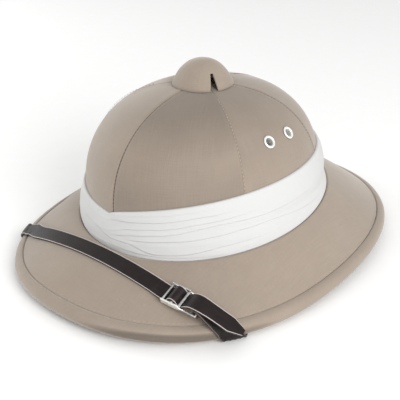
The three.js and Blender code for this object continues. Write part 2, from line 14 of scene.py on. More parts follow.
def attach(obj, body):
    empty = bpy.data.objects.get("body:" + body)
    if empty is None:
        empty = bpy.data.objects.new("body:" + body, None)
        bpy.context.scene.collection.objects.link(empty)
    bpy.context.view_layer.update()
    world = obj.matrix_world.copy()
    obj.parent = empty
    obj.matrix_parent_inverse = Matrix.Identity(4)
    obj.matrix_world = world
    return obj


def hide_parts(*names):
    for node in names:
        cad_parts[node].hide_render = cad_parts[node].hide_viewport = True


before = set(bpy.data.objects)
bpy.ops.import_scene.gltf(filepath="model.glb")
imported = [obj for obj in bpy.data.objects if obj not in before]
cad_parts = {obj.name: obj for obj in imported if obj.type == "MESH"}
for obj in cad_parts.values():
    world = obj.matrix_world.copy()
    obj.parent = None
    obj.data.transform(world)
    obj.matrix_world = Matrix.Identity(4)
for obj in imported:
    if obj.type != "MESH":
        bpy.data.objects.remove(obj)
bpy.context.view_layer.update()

MM = 0.001
WELD = 1e-4

# ---------- dimensions, as the frame has them ----------

CLOTH = 1.2
PITH = 5
GAP = 0.3
BRIM_HALF_WIDTH, BRIM_FRONT, BRIM_BACK, BRIM_WIDEST_Y = 136.5, 168, 182, -7
BRIM_FRONT_POWER, BRIM_BACK_POWER = 2.25, 2
BRIM_DROP = 8.5
BRIM_CROWNING = 1
BRIM_SLOPE = 60
RIM_WAVE_TWICE, RIM_WAVE_THRICE = -1.7, 2.9
BACK_FLAT_DIP = 0.6
RIM_FRONT_HEIGHT, RIM_BACK_HEIGHT = 10.4, 8
BINDING_WIDTH = 7
# The binding's section from its upper seam to its lower one, as shares (out, up) of its size. A row
# of the rim is a place along it, which may be between two of its points.
RIM_SECTION = [
    (-1, 1), (-0.5, 0.92), (-0.18, 0.74), (0, 0.4), (-0.05, 0.12), (-0.25, 0), (-0.85, 0), (-1.2, 0.1),
]
RIM_UNDER_ROW, RIM_LAST_ROW = 6, 7
RIM_GIRTH = 985
BASE_HALF_WIDTH, BASE_HALF_LENGTH, BASE_FRONT_Z, BASE_BACK_Z = 98, 108, 34.5, 54.5
CROWN_Y = -10.5
DOME_HALF_WIDTH, DOME_HALF_LENGTH, DOME_BOTTOM_Z, DOME_HEIGHT = 89.5, 102.5, 59, 77.5
DOME_RISE, DOME_DRAW = 2.25, 2.5
DOME_TOP_Z = DOME_BOTTOM_Z + DOME_HEIGHT
BAND_FOOT = 3.5
BAND_NOTCH_ANGLE, BAND_NOTCH_Z, BAND_RISE = radians(-2.1), 61.2, 23
BAND_LEFT_STEEPNESS, BAND_LEFT_POWER = 2.2, 0.75
BAND_RIGHT_EARLY, BAND_EARLY_POWER, BAND_LATE_POWER = 0.41, 0.8, 3
GORES = 6
VENT_RADIUS = 8
CAP_RADIUS, CAP_HEIGHT, CAP_RIM_Z, CAP_WALL = 24.2, 19.5, 136, 2
CAP_FLARE, CAP_ROUNDING = 1.2, 0.43
CAP_SLITS, SLIT_TOP_Z = (60, 180, 300), 11.8
STUD_FLANGE_Z, STUD_TOP_Z, STUD_FLANGE_RADIUS, STUD_RADIUS = 126.7, 152.6, 13, 4
EYELET_BARREL, EYELET_Z, EYELET_ANGLES = 3.9, 108.5, (81, 99, 261, 279)
STRAP_WIDTH, STRAP_THICK, STRAP_GAP = 12.7, 1.8, 0.8
STRAP_Y, STRAP_BACK_SWEEP, STRAP_SEAM_X = -126.8, 8.5, 100
STRAP_SEAM_ANGLE, STRAP_SLANT, STRAP_REST_ANGLE = radians(42.5), radians(45), radians(51)
RIVET_ANGLE, RIVET_RISE = 78, 15
BUCKLE_X, BUCKLE_TILT, BUCKLE_RAISE = 80, radians(16), 3.3
BUCKLE_HALF_LENGTH, BUCKLE_WIRE, BUCKLE_BARS, BUCKLE_HIDDEN_BAR = 15, 1.6, 14.2, -5.8
BUCKLE_UPPER_BAR_Z, BUCKLE_LOWER_BAR_Z, BUCKLE_HIDDEN_BAR_Z = 4.8, 3.6, 6.2
LOOP_LEAVES = radians(40)
# The long strap's middle in the buckle's frame as it threads through, and its free end, as
# (along, across, lift, roll).
THREADING = [
    (-18.7, 0, 3.7, 0), (-15.2, 0, 2.7, 0), (-12.6, 0, 3, 0), (-10.4, 0, 4.9, 0), (-8.6, 0, 7.3, 0),
    (-5.8, 0, 8.7, 0), (-3.4, 0, 7.3, 0), (-2.1, 0, 4.4, 0), (0, 0, 2.6, 0), (2.2, 0, 4.2, 0),
    (5.5, 0, 6.6, 0), (10, 0, 8.8, 0), (14.5, 0, 9, 0), (18.7, 0.3, 7.2, 0.05), (24.1, 0.8, 4, 0.12),
    (35.7, 1.7, -3.1, 0.14), (45.5, 2.4, -8.2, 0.14),
]
TIP_CUT, TIP_WIDTH = 10, 5.2


def lerp(start, end, share):
    return start + (end - start) * share


def ramp(low, high, value):
    """0 below low, 1 above high, and a smooth rise between them."""
    share = min(max((value - low) / (high - low), 0), 1)
    return share * share * (3 - 2 * share)


def read(table, value):
    """What a table of (place, value) pairs says at a place, straight between its entries."""
    if value <= table[0][0]:
        return table[0][1]
    for (x0, y0), (x1, y1) in zip(table, table[1:]):
        if value <= x1:
            return lerp(y0, y1, (value - x0) / (x1 - x0))
    return table[-1][1]


def smooth_at(points, row):
    """A place on the smooth line through points: row 2.5 is halfway from the third to the fourth."""
    i = min(int(row), len(points) - 2)
    f = row - i
    a, b, c, d = (Vector(points[min(max(k, 0), len(points) - 1)]) for k in (i - 1, i, i + 1, i + 2))
    bend = (2 * a - 5 * b + 4 * c - d) * f * f + (3 * b - a - 3 * c + d) * f**3
    return 0.5 * (2 * b + (c - a) * f + bend)


def smooth_profile(points, between=4):
    """More points along a profile, on the smooth line through the given ones."""
    rows = range((len(points) - 1) * between + 1)
    return [tuple(smooth_at(points, row / between)) for row in rows]


def lengths_along(points):
    """How far along a line each of its points is."""
    lengths = [0.0]
    for a, b in zip(points, points[1:]):
        lengths.append(lengths[-1] + (b - a).length)
    return lengths


def ripple(point, size, seed=0):
    """Smooth unevenness from -1 to 1, with bumps about size millimetres wide."""
    return noise.noise(Vector(point) / size + Vector((seed * 7.31, seed * 3.17, seed * 5.53)))


# ---------- the helmet's surfaces ----------


def outline(angle, half_width, front, back, middle_y, front_power, back_power):
    """An oval seen from above, whose front and back halves have their own length and fullness."""
    s, c = sin(angle), cos(angle)
    length, power = (front, front_power) if c > 0 else (back, back_power)
    reach = (abs(s / half_width) ** power + abs(c / length) ** power) ** (-1 / power)
    return Vector((reach * s, middle_y - reach * c))


def rim_outline(angle):
    return outline(
        angle, BRIM_HALF_WIDTH, BRIM_FRONT, BRIM_BACK, BRIM_WIDEST_Y, BRIM_FRONT_POWER, BRIM_BACK_POWER
    )


def rim_outward(angle):
    """The level way out of the rim, square to its outline."""
    along = (rim_outline(angle + 0.01) - rim_outline(angle - 0.01)).normalized()
    return Vector((along.y, -along.x))


def rim_wave(angle):
    """How the rim rises and dips on its way round."""
    return RIM_WAVE_TWICE * cos(2 * angle) + RIM_WAVE_THRICE * cos(3 * angle)


# The helmet rests on the straps under the rim in front and on a short flat at the back.
RIM_TILT = (STRAP_THICK + STRAP_GAP + BACK_FLAT_DIP - rim_wave(STRAP_REST_ANGLE) + rim_wave(pi)) / (
    1 + cos(STRAP_REST_ANGLE)
)
RIM_LEVEL = RIM_TILT - rim_wave(pi) - BACK_FLAT_DIP


def rim_bottom(angle):
    return max(0, RIM_LEVEL + RIM_TILT * cos(angle) + rim_wave(angle))


def rim_height(angle):
    return lerp(RIM_BACK_HEIGHT, RIM_FRONT_HEIGHT, (1 + cos(angle)) / 2)


def rim_flat(angle, row):
    """A point of the rim's section, as (out, up)."""
    out, up = smooth_at(RIM_SECTION, row)
    return Vector((out * BINDING_WIDTH, rim_bottom(angle) + max(up, 0) * rim_height(angle)))


def rim_point(angle, row, lift=0):
    """A point of the rim's surface, moved out of it by lift."""
    flat = rim_flat(angle, row)
    before, after = rim_flat(angle, max(row - 0.05, 0)), rim_flat(angle, min(row + 0.05, RIM_LAST_ROW))
    along = (after - before).normalized()
    flat += Vector((-along.y, along.x)) * lift
    edge, outward = rim_outline(angle), rim_outward(angle)
    return Vector((edge.x + outward.x * flat.x, edge.y + outward.y * flat.x, flat.y))


def base_z(angle):
    """The height of the brim at the band's foot."""
    return lerp(BASE_BACK_Z, BASE_FRONT_Z, (1 + cos(angle)) / 2)


def brim_top(angle, share):
    """The brim's upper surface: share 0 is at the band's foot and 1 at the binding's seam."""
    foot = outline(angle, BASE_HALF_WIDTH, BASE_HALF_LENGTH, BASE_HALF_LENGTH, CROWN_Y, 2, 2)
    point = Vector((foot.x, foot.y, base_z(angle))).lerp(rim_point(angle, 0), share)
    point.z += BRIM_CROWNING * 4 * share * (1 - share)
    return point


def band_top_z(angle):
    """The band's upper edge climbs at once on the wearer's left, and late on the right."""
    turn = angle - BAND_NOTCH_ANGLE
    away = abs(sin(turn / 2))
    if sin(turn) > 0:
        share = (1 - (1 - away) ** BAND_LEFT_STEEPNESS) ** BAND_LEFT_POWER
    else:
        share = lerp(away**BAND_LATE_POWER, away**BAND_EARLY_POWER, BAND_RIGHT_EARLY)
    return BAND_NOTCH_Z + BAND_RISE * share


def crown_point(angle, z, inset=0):
    """The crown's cloth surface at a height, moved into the crown by inset."""
    wide, long = DOME_HALF_WIDTH, DOME_HALF_LENGTH
    if z > DOME_BOTTOM_Z:
        climb = min((z - DOME_BOTTOM_Z) / (DOME_HEIGHT - inset), 1) ** (DOME_RISE / 2)
        share = sqrt(1 - climb * climb) ** (2 / DOME_DRAW)
        wide, long = (wide - inset) * share, (long - inset) * share
    else:
        flare = min((DOME_BOTTOM_Z - z) / (DOME_BOTTOM_Z - base_z(angle)), 1)
        wide = lerp(wide, BASE_HALF_WIDTH - BAND_FOOT, flare) - inset
        long = lerp(long, BASE_HALF_LENGTH - BAND_FOOT, flare) - inset
    flat = outline(angle, wide, long, long, CROWN_Y, 2, 2)
    return Vector((flat.x, flat.y, z))


def crown_outward(angle, z):
    """The way square out of the crown."""
    round_it = crown_point(angle + 0.02, z) - crown_point(angle - 0.02, z)
    up = crown_point(angle, z + 0.5) - crown_point(angle, z - 0.5)
    return round_it.cross(up).normalized()


def dome_z(row, inset=0):
    """Heights up the dome: row 0 is its bottom and row 1 the vent's edge."""
    vent = (VENT_RADIUS / DOME_HALF_WIDTH) ** (DOME_DRAW / 2)
    turn = row * atan2(sqrt(1 - vent * vent), vent)
    return DOME_BOTTOM_Z + (DOME_HEIGHT - inset) * sin(turn) ** (2 / DOME_RISE)


# ---------- mesh helpers ----------


def lay_cloth(bm, where):
    """Gives each corner its place on the flat cloth, in millimetres, which where(vert) says."""
    layer = bm.loops.layers.uv.new("cloth")
    for face in bm.faces:
        for loop in face.loops:
            loop[layer].uv = where(loop.vert)


def sheet(columns, rows, place, cloth, paint=None):
    """A grid of columns by rows. place(i, j) says where a corner goes, cloth(i, j) where it is on the
    flat cloth, and paint(j) which material the faces of row j have. Corners that come together are
    joined, which closes a ring."""
    bm = bmesh.new()
    bmesh.ops.create_grid(bm, x_segments=columns, y_segments=rows, size=1)
    spots = {v: (round((v.co.x + 1) / 2 * columns), round((v.co.y + 1) / 2 * rows)) for v in bm.verts}
    lay_cloth(bm, lambda vert: cloth(*spots[vert]))
    if paint:
        for face in bm.faces:
            face.material_index = paint(min(spots[v][1] for v in face.verts))
    for vert, (i, j) in spots.items():
        vert.co = place(i, j)
    weld(bm)
    return bm


def weld(bm):
    """Joins corners that have come together."""
    bmesh.ops.remove_doubles(bm, verts=bm.verts, dist=WELD)


def face_out(bm):
    """Turns a closed shell's faces outwards."""
    bmesh.ops.recalc_face_normals(bm, faces=bm.faces)


def turned(profile, steps=48):
    """A round piece: a line of (radius, height) points spun about Z."""
    bm = bmesh.new()
    line = [bm.verts.new((r, 0, z)) for r, z in profile]
    edges = [bm.edges.new(pair) for pair in zip(line, line[1:])]
    if profile[0][0] > 0:
        edges.append(bm.edges.new((line[-1], line[0])))
    bmesh.ops.spin(
        bm, geom=line + edges, cent=(0, 0, 0), axis=(0, 0, 1), angle=tau, steps=steps, use_merge=True
    )
    weld(bm)
    face_out(bm)
    return bm


def link(name, bm, *materials):
    """An object from a bmesh in millimetres, with its place in its mesh."""
    bmesh.ops.scale(bm, vec=(MM,) * 3, verts=bm.verts)
    for face in bm.faces:
        face.smooth = True
    mesh = bpy.data.meshes.new(name)
    bm.to_mesh(mesh)
    bm.free()
    for material in materials:
        mesh.materials.append(material)
    obj = bpy.data.objects.new(name, mesh)
    bpy.context.scene.collection.objects.link(obj)
    return obj


def block(low, high):
    """A box between two corners."""
    low, high = Vector(low), Vector(high)
    bm = bmesh.new()
    bmesh.ops.create_cube(bm, size=1)
    bmesh.ops.scale(bm, vec=high - low, verts=bm.verts)
    bmesh.ops.translate(bm, vec=(low + high) / 2, verts=bm.verts)
    return bm


def stood_up(place, outward):
    """The frame of a round piece that stands at a place with its axis outward."""
    return Matrix.Translation(place) @ Vector((0, 0, 1)).rotation_difference(outward).to_matrix().to_4x4()


def placed(bm, frame_matrix):
    """Moves a shape into its own frame on the helmet."""
    bmesh.ops.transform(bm, matrix=frame_matrix, verts=bm.verts)
    return bm


def ring(name, steps, rows, place, cloth, material):
    """A closed ring round the helmet, where place(angle, j) is a point of its section."""
    bm = sheet(steps, rows, lambda i, j: place((i % steps) / steps * tau, j % rows), cloth)
    face_out(bm)
    return link(name, bm, material)


def piece(obj, slot, *nodes):
    """Makes an object a piece of the helmet that stands for these nodes of the frame."""
    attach(obj, "root")
    if nodes:
        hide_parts(*nodes)
    return obj


def settle(obj):
    """Puts an object's modifiers into its mesh."""
    bpy.context.view_layer.update()
    evaluated = obj.evaluated_get(bpy.context.evaluated_depsgraph_get())
    mesh = bpy.data.meshes.new_from_object(evaluated)
    mesh.name = obj.name
    obj.modifiers.clear()
    obj.data = mesh


def thicken(obj, thickness, offset=-1.0):
    """Gives a sheet its wall, inwards from its face."""
    wall = obj.modifiers.new("wall", "SOLIDIFY")
    wall.thickness, wall.offset, wall.use_even_offset = thickness * MM, offset, False


def carve(obj, cutters, operation="DIFFERENCE"):
    """Cuts the cutters out of an object, or joins them to it, and takes them away."""
    for number, cutter in enumerate(cutters):
        cut = obj.modifiers.new(f"cut_{number}", "BOOLEAN")
        cut.operation, cut.solver, cut.object = operation, "EXACT", cutter
    settle(obj)
    for cutter in cutters:
        bpy.data.objects.remove(cutter)


def facing(bm, outward):
    """Turns an open sheet's faces the way outward(centre) points."""
    bm.normal_update()
    agree = sum(f.normal.dot(outward(f.calc_center_median())) for f in bm.faces)
    if agree < 0:
        bmesh.ops.reverse_faces(bm, faces=bm.faces)


# ---------- materials ----------

# In metres on the helmet: heights of the crown's painted light and shade, and where the wearer's right
# side, which has painted light and shade, begins and ends. The rim's painted shade faces the wearer's
# left and the front.
PAINTED_SHADE_HEIGHTS = (0.075, 0.105, 0.135)
RIGHT_SIDE = (-0.115, -0.055)
RIM_SHADE_WAY = (0.643, -0.766, 0)
TWILL = radians(62)


class Finish:
    """A material under construction, with short ways to add nodes to it."""

    def __init__(self, name):
        self.material = bpy.data.materials.new(name)
        self.material.use_nodes = True
        self.tree = self.material.node_tree
        self.shader = self.tree.nodes["Principled BSDF"]

    def node(self, kind, settings=None, **inputs):
        made = self.tree.nodes.new("ShaderNode" + kind)
        for key, value in (settings or {}).items():
            setattr(made, key, value)
        for key, value in inputs.items():
            self.plug(made, key.replace("_", " "), value)
        return made

    def plug(self, node, key, value):
        socket = node.inputs[int(key[1:])] if key[0] == "i" and key[1:].isdigit() else node.inputs[key]
        if isinstance(value, bpy.types.NodeSocket):
            self.tree.links.new(value, socket)
        else:
            socket.default_value = value

    def place(self):
        """Where a point is on the helmet, in metres."""
        return self.node("TexCoord").outputs["Object"]

    def millimetres(self):
        return self.scaled(self.place(), (1000, 1000, 1000))

    def flat_cloth(self):
        """Where a point is on the piece's own flat cloth or leather, in millimetres."""
        return self.node("UVMap", {"uv_map": "cloth"}).outputs["UV"]

    def math(self, operation, a, b=0.0):
        return self.node("Math", {"operation": operation}, i0=a, i1=b).outputs[0]

    def times(self, a, b):
        return self.math("MULTIPLY", a, b)

    def varied(self, light, value, low, high, amount):
        """Makes light weaker where value is low, and stronger where it is high, by amount."""
        return self.times(light, self.between(value, low, high, 1 - amount, 1 + amount))

    def scaled(self, vector, scale, turn=0.0):
        made = self.node("Mapping", Vector=vector, Scale=scale, Rotation=(0, 0, turn))
        return made.outputs[0]

    def threads(self, vector, way, scale, **settings):
        """Stripes across one way of the cloth."""
        return self.node("TexWave", {"bands_direction": way}, Vector=vector, Scale=scale, Detail=1.0,
                         **settings).outputs["Fac"]

    def noise(self, vector, scale, detail=2.0, roughness=0.5):
        made = self.node("TexNoise", Vector=vector, Scale=scale, Detail=detail, Roughness=roughness)
        return made.outputs["Fac"]

    def mix(self, factor, a, b, blend="MIX"):
        made = self.node("Mix", {"data_type": "RGBA", "blend_type": blend}, i0=factor, i6=a, i7=b)
        return made.outputs[2]

    def between(self, value, low, high, to_low=0.0, to_high=1.0):
        made = self.node("MapRange", Value=value, From_Min=low, From_Max=high, To_Min=to_low, To_Max=to_high)
        return made.outputs[0]

    def bump(self, height, strength, distance):
        return self.node("Bump", Strength=strength, Distance=distance, Height=height).outputs[0]

    def finish(self, color, roughness, normal=None, **fixed):
        """Plugs in what varies, and sets what is the same all over on the shader's own sockets."""
        self.plug(self.shader, "Base Color", color)
        self.plug(self.shader, "Roughness", roughness)
        if normal:
            self.plug(self.shader, "Normal", normal)
        for key, value in fixed.items():
            self.shader.inputs[key.replace("_", " ")].default_value = value
        return self.material


def shade(red, green, blue, factor=1.0):
    """A shader colour from 0-255 screen values."""
    return tuple(((v / 255 + 0.055) / 1.055) ** 2.4 * factor for v in (red, green, blue)) + (1,)


def woven_cloth(
    name, base, pitch, flat, strength, sheen, mottling=1.0, painted_tones=(1, 1, 1), rim_shade=1, right_side_light=1
):
    """Twill or plain cloth with threads a pitch apart. The weave follows the piece's own flat cloth,
    or where flat is true it lies straight on the helmet. Painted light and shade change its brightness:
    tones are painted light and shade for the crown's foot, its middle and its top, handled is painted
    shade on the rim's edge where it faces the wearer's left and the front, and right_side_light is painted
    light and shade for the wearer's right."""
    f = Finish(name)
    cloth = f.millimetres() if flat else f.flat_cloth()
    scale = tau / 20 / pitch
    warp, weft = (f.threads(cloth, way, scale, Distortion=0.6, Detail_Scale=2.0) for way in "XY")
    rib = f.threads(f.scaled(cloth, (1, 1, 1), TWILL), "X", scale * 0.7, Distortion=0.8)
    weave = f.math("ADD", f.times(f.times(warp, weft), 0.6), f.times(rib, 0.4))
    slub = f.noise(f.scaled(cloth, (1.4, 0.05, 0.3)), 1.0, 3.0)
    cross_slub = f.noise(f.scaled(cloth, (0.05, 1.4, 0.3)), 1.0, 3.0)
    patches = f.noise(f.scaled(cloth, (0.028, 0.028, 0.028)), 1.0, 3.0, 0.6)
    fuzz = f.noise(cloth, 1.6, 2.0, 0.7)
    specks = f.between(f.noise(cloth, 0.4, 0.0), 0.84, 0.88)
    light = f.between(weave, 0, 1, 1 - 0.10 * strength, 1 + 0.07 * strength)
    light = f.varied(light, slub, 0.25, 0.75, 0.035 * mottling)
    light = f.varied(light, cross_slub, 0.25, 0.75, 0.025 * mottling)
    light = f.varied(light, patches, 0.3, 0.7, 0.03 * mottling)
    light = f.varied(light, fuzz, 0.2, 0.8, 0.05 * mottling)
    light = f.math("ADD", light, f.times(specks, 0.12 * mottling))
    spot = f.node("SeparateXYZ", Vector=f.place()).outputs
    # Painted light and shade by height, which only the crown's gores use.
    foot, middle, top = painted_tones
    low, half, high = PAINTED_SHADE_HEIGHTS
    light = f.times(light, f.between(spot["Z"], low, half, foot, middle))
    light = f.times(light, f.between(spot["Z"], half, high, 1, top / middle))
    # Painted light and shade on the wearer's right side.
    light = f.times(light, f.between(spot["X"], *RIGHT_SIDE, right_side_light, 1))
    # Painted shade on the rim's edge where it faces the wearer's left and the front.
    if rim_shade != 1:
        normal = f.node("TexCoord").outputs["Normal"]
        rim_shade_facing = f.node("VectorMath", {"operation": "DOT_PRODUCT"}, i0=normal, i1=RIM_SHADE_WAY)
        light = f.times(light, f.between(rim_shade_facing.outputs["Value"], 0.83, 0.94, 1, rim_shade))
    color = f.node("VectorMath", {"operation": "SCALE"}, i0=base[:3], i3=light).outputs[0]
    rough = f.between(fuzz, 0, 1, 0.82, 0.98)
    normal = f.bump(f.math("ADD", weave, f.times(fuzz, 0.5)), 0.35 * strength, 0.00012)
    return f.finish(color, rough, normal, Sheen_Weight=sheen, Sheen_Roughness=0.45,
                    Sheen_Tint=(1.0, 0.97, 0.93, 1), Specular_IOR_Level=0.2)


def strap_face():
    """Dyed leather: a fine grain, faint creases across it and a little wear near its edges."""
    f = Finish("strap_leather_face")
    flat = f.flat_cloth()
    grain = f.node("TexVoronoi", {"feature": "DISTANCE_TO_EDGE"}, Vector=flat, Scale=1.5).outputs["Distance"]
    grain = f.between(grain, 0.0, 0.25)
    clouds = f.noise(f.scaled(flat, (0.09, 0.25, 1)), 1.0, 4.0, 0.6)
    creases = f.noise(f.scaled(flat, (0.9, 0.12, 1)), 1.0, 3.0, 0.6)
    across = f.node("SeparateXYZ", Vector=flat).outputs["Y"]
    from_middle = f.math("ABSOLUTE", f.math("SUBTRACT", across, STRAP_WIDTH / 2))
    worn = f.times(f.between(from_middle, 4.6, 6.2), f.between(clouds, 0.35, 0.7))
    color = f.mix(f.between(clouds, 0.3, 0.7), shade(17, 9, 8), shade(31, 19, 18))
    color = f.mix(f.times(worn, 0.55), color, shade(70, 56, 52))
    rough = f.math("ADD", f.between(clouds, 0.2, 0.8, 0.40, 0.54), f.times(grain, -0.04))
    normal = f.bump(f.math("ADD", grain, f.times(creases, 1.4)), 0.35, 0.00010)
    return f.finish(color, rough, normal, Specular_IOR_Level=0.28)


def strap_cut_edge(name, deep, pale):
    """A strap's raw edge: fibrous leather."""
    f = Finish(name)
    flat = f.flat_cloth()
    fibres = f.noise(f.scaled(flat, (1.2, 3.0, 1)), 1.0, 4.0, 0.65)
    color = f.mix(f.between(fibres, 0.3, 0.72), deep, pale)
    return f.finish(color, 0.85, f.bump(fibres, 0.5, 0.0001), Specular_IOR_Level=0.25)


def strap_flesh():
    """The strap's inner side: brushed brown leather."""
    f = Finish("strap_flesh_side")
    flat = f.flat_cloth()
    nap = f.noise(f.scaled(flat, (1.5, 1.5, 1)), 1.0, 5.0, 0.7)
    clouds = f.noise(f.scaled(flat, (0.08, 0.2, 1)), 1.0, 2.0)
    color = f.mix(f.between(nap, 0.3, 0.7), shade(70, 54, 46), shade(104, 84, 72))
    color = f.mix(f.between(clouds, 0.35, 0.65, 0.0, 0.35), color, shade(58, 44, 38))
    return f.finish(color, 0.92, f.bump(nap, 0.4, 0.0001), Specular_IOR_Level=0.2, Sheen_Weight=0.2)


def plated(name, tint, polish_and_highlight, metallic):
    """Nickel plate: fine rubbed scratches and cloudy patches in its polish."""
    f = Finish(name)
    place = f.millimetres()
    clouds = f.noise(place, 0.35, 3.0)
    rubs = f.noise(f.scaled(place, (0.4, 3.5, 2.2)), 1.0, 4.0, 0.6)
    color = f.mix(f.between(clouds, 0.3, 0.7), tint, polish_and_highlight)
    rough = f.math("ADD", f.between(clouds, 0.25, 0.75, 0.22, 0.34), f.between(rubs, 0.4, 0.8, 0.0, 0.10))
    return f.finish(color, rough, f.bump(rubs, 0.12, 0.00004), Metallic=metallic)


def pressed_pith():
    """The bare wall inside the crown: pale pressed pith with short fibres."""
    f = Finish("pressed_pith")
    place = f.millimetres()
    fibres = f.noise(f.scaled(place, (0.6, 0.6, 0.12)), 1.0, 5.0, 0.65)
    clouds = f.noise(place, 0.03, 3.0)
    cells = f.node("TexVoronoi", {"feature": "F1"}, Vector=place, Scale=0.45).outputs["Distance"]
    color = f.mix(f.between(fibres, 0.3, 0.7), shade(178, 158, 124), shade(214, 198, 166))
    color = f.mix(f.between(clouds, 0.35, 0.65, 0.0, 0.4), color, shade(190, 168, 132))
    height = f.math("ADD", fibres, f.times(cells, 0.3))
    return f.finish(color, 0.95, f.bump(height, 0.5, 0.0003), Specular_IOR_Level=0.2)


KHAKI = shade(153, 140, 127)
WHITE = shade(201, 201, 200)
# Painted light and shade of each gore, as (foot, middle, top): lit and shaded copies of one khaki, the first
# gore darkest and darker still at its top.
GORE_PAINTED_SHADE = [
    (0.82, 0.92, 0.64), (0.99, 0.9, 0.79), (1.0, 0.94, 0.88),
    (1.0, 0.97, 0.93), (1.04, 0.99, 0.94), (1.0, 0.98, 0.92),
]
khaki_gores = [
    woven_cloth(f"khaki_drill_gore_{number + 1}", KHAKI, 0.62, False, 0.9, 0.45, 1.5, painted_tones)
    for number, painted_tones in enumerate(GORE_PAINTED_SHADE)
]
# The brim has painted shade on the wearer's right.
khaki_brim = woven_cloth("khaki_drill_brim", KHAKI, 0.62, True, 0.6, 0.45, 1.2, right_side_light=0.72)
# The binding has painted shade where its edge faces the wearer's left and the front, and more painted shade
# on the wearer's right.
khaki_bias = woven_cloth(
    "khaki_bias_binding", KHAKI, 0.62, False, 0.9, 0.45, 1.2, rim_shade=0.5, right_side_light=0.8
)
# The band has painted light on the wearer's right.
white_cotton = woven_cloth("white_cotton", WHITE, 0.42, False, 0.35, 0.15, 0.25, right_side_light=1.35)
khaki_thread = woven_cloth("khaki_thread", shade(172, 159, 145), 0.3, True, 1.0, 0.3)
# The crown's seam thread in a lit and a shaded copy: pale on the seam that faces the light, a painted
# highlight, and dark on the others, painted shade in their grooves.
thread_painted_highlight = woven_cloth("thread_painted_highlight", shade(202, 190, 176), 0.3, True, 1.0, 0.3)
thread_painted_shade = woven_cloth("thread_painted_shade", shade(96, 84, 74), 0.3, True, 1.0, 0.2)
leather_face, leather_flesh = strap_face(), strap_flesh()
leather_edge = strap_cut_edge("strap_pale_edge", shade(170, 162, 158), shade(222, 216, 214))
# A darker copy of the cut edge for the short strap, painted shade where it lies in shadow under the free
# end.
leather_shaded_edge = strap_cut_edge("strap_edge_painted_shade", shade(74, 66, 63), shade(120, 112, 107))
nickel = plated("nickel_plate", shade(240, 239, 236), shade(250, 249, 246), 0.6)
# A darker copy of the nickel for the buckle, painted shade; the buckle's near rail takes the bright nickel
# as a painted reflection.
shaded_nickel = plated("nickel_plate_painted_shade", shade(186, 186, 185), shade(216, 215, 213), 1.0)
pith = pressed_pith()

# ---------- camera, floor and light ----------

camera = bpy.data.objects.new("camera", bpy.data.cameras.new("camera"))
bpy.context.scene.collection.objects.link(camera)
bpy.context.scene.camera = camera
camera.data.sensor_width, camera.data.lens = 36, 68.64
camera.data.clip_start, camera.data.clip_end = 0.01, 20
CAMERA_PLACE = (0.3793, -0.4413, 0.3241)
CAMERA_RIGHT, CAMERA_UP = Vector((0.7520, 0.6589, -0.0185)), Vector((-0.2858, 0.3512, 0.8916))
camera_turn = Matrix((CAMERA_RIGHT, CAMERA_UP, CAMERA_RIGHT.cross(CAMERA_UP))).transposed()
camera.matrix_world = Matrix.Translation(CAMERA_PLACE) @ camera_turn.to_4x4()

FLOOR_RADIUS = 6000
floor_mesh = bmesh.new()
bmesh.ops.create_circle(floor_mesh, cap_ends=True, segments=64, radius=FLOOR_RADIUS)
paper = Finish("pale_paper")
paper_grain = paper.noise(paper.place(), 60, 2.0)
paper_color = paper.mix(paper_grain, (0.94, 0.94, 0.935, 1), (0.97, 0.97, 0.965, 1))
floor = link("studio_floor", floor_mesh, paper.finish(paper_color, 0.9, Specular_IOR_Level=0.1))

world = bpy.data.worlds.new("studio")
bpy.context.scene.world = world
world.use_nodes = True
world.node_tree.nodes["Background"].inputs["Color"].default_value = (1.0, 1.0, 1.0, 1)
world.node_tree.nodes["Background"].inputs["Strength"].default_value = 0.76
bpy.context.scene.view_settings.view_transform = "Standard"


def softbox(name, place, power, size):
    """A large square light that looks at the helmet."""
    light = bpy.data.lights.new(name, "AREA")
    light.energy, light.size = power, size
    obj = bpy.data.objects.new(name, light)
    bpy.context.scene.collection.objects.link(obj)
    obj.rotation_euler = (Vector((0, 0, 0.06)) - Vector(place)).to_track_quat("-Z", "Y").to_euler()
    obj.location = place


softbox("key_softbox", (1.3, -0.5, 0.75), 16, 0.7)
softbox("fill_softbox", (-1.35, -0.3, 0.3), 8, 0.55)

# ---------- crown ----------

COLUMNS = 44
HEAD_MIDDLE = Vector((0, CROWN_Y, 50))
SKIRT_ROWS, DOME_ROWS = 5, 40
CROWN_ROWS = SKIRT_ROWS + DOME_ROWS


def crown_height(angle, row, inset=0):
    """Heights of a wall's rows, from under the band's foot to the vent."""
    if row < SKIRT_ROWS:
        return lerp(base_z(angle) - BRIM_DROP, DOME_BOTTOM_Z, row / SKIRT_ROWS)
    return dome_z((row - SKIRT_ROWS) / DOME_ROWS, inset)


# How deep the seams are drawn in, from the front one round by the wearer's left.
SEAM_DEPTHS = (1.45, 0.3, 1.6, 1.2, 1.2, 0.35)


def seam_dip(distance, depth):
    """How far a gore's edge turns in, at a distance from the seam."""
    turned_in = depth * exp(-((distance / 0.38) ** 1.6))
    lifted = 0.16 * exp(-(((distance - 2.2) / 1.5) ** 2)) + 0.10 * exp(-(((distance - 4.4) / 1.6) ** 2))
    return turned_in - lifted


def pulled(share):
    """Columns crowd towards a gore's two edges."""
    return share - 0.145 * sin(tau * share)


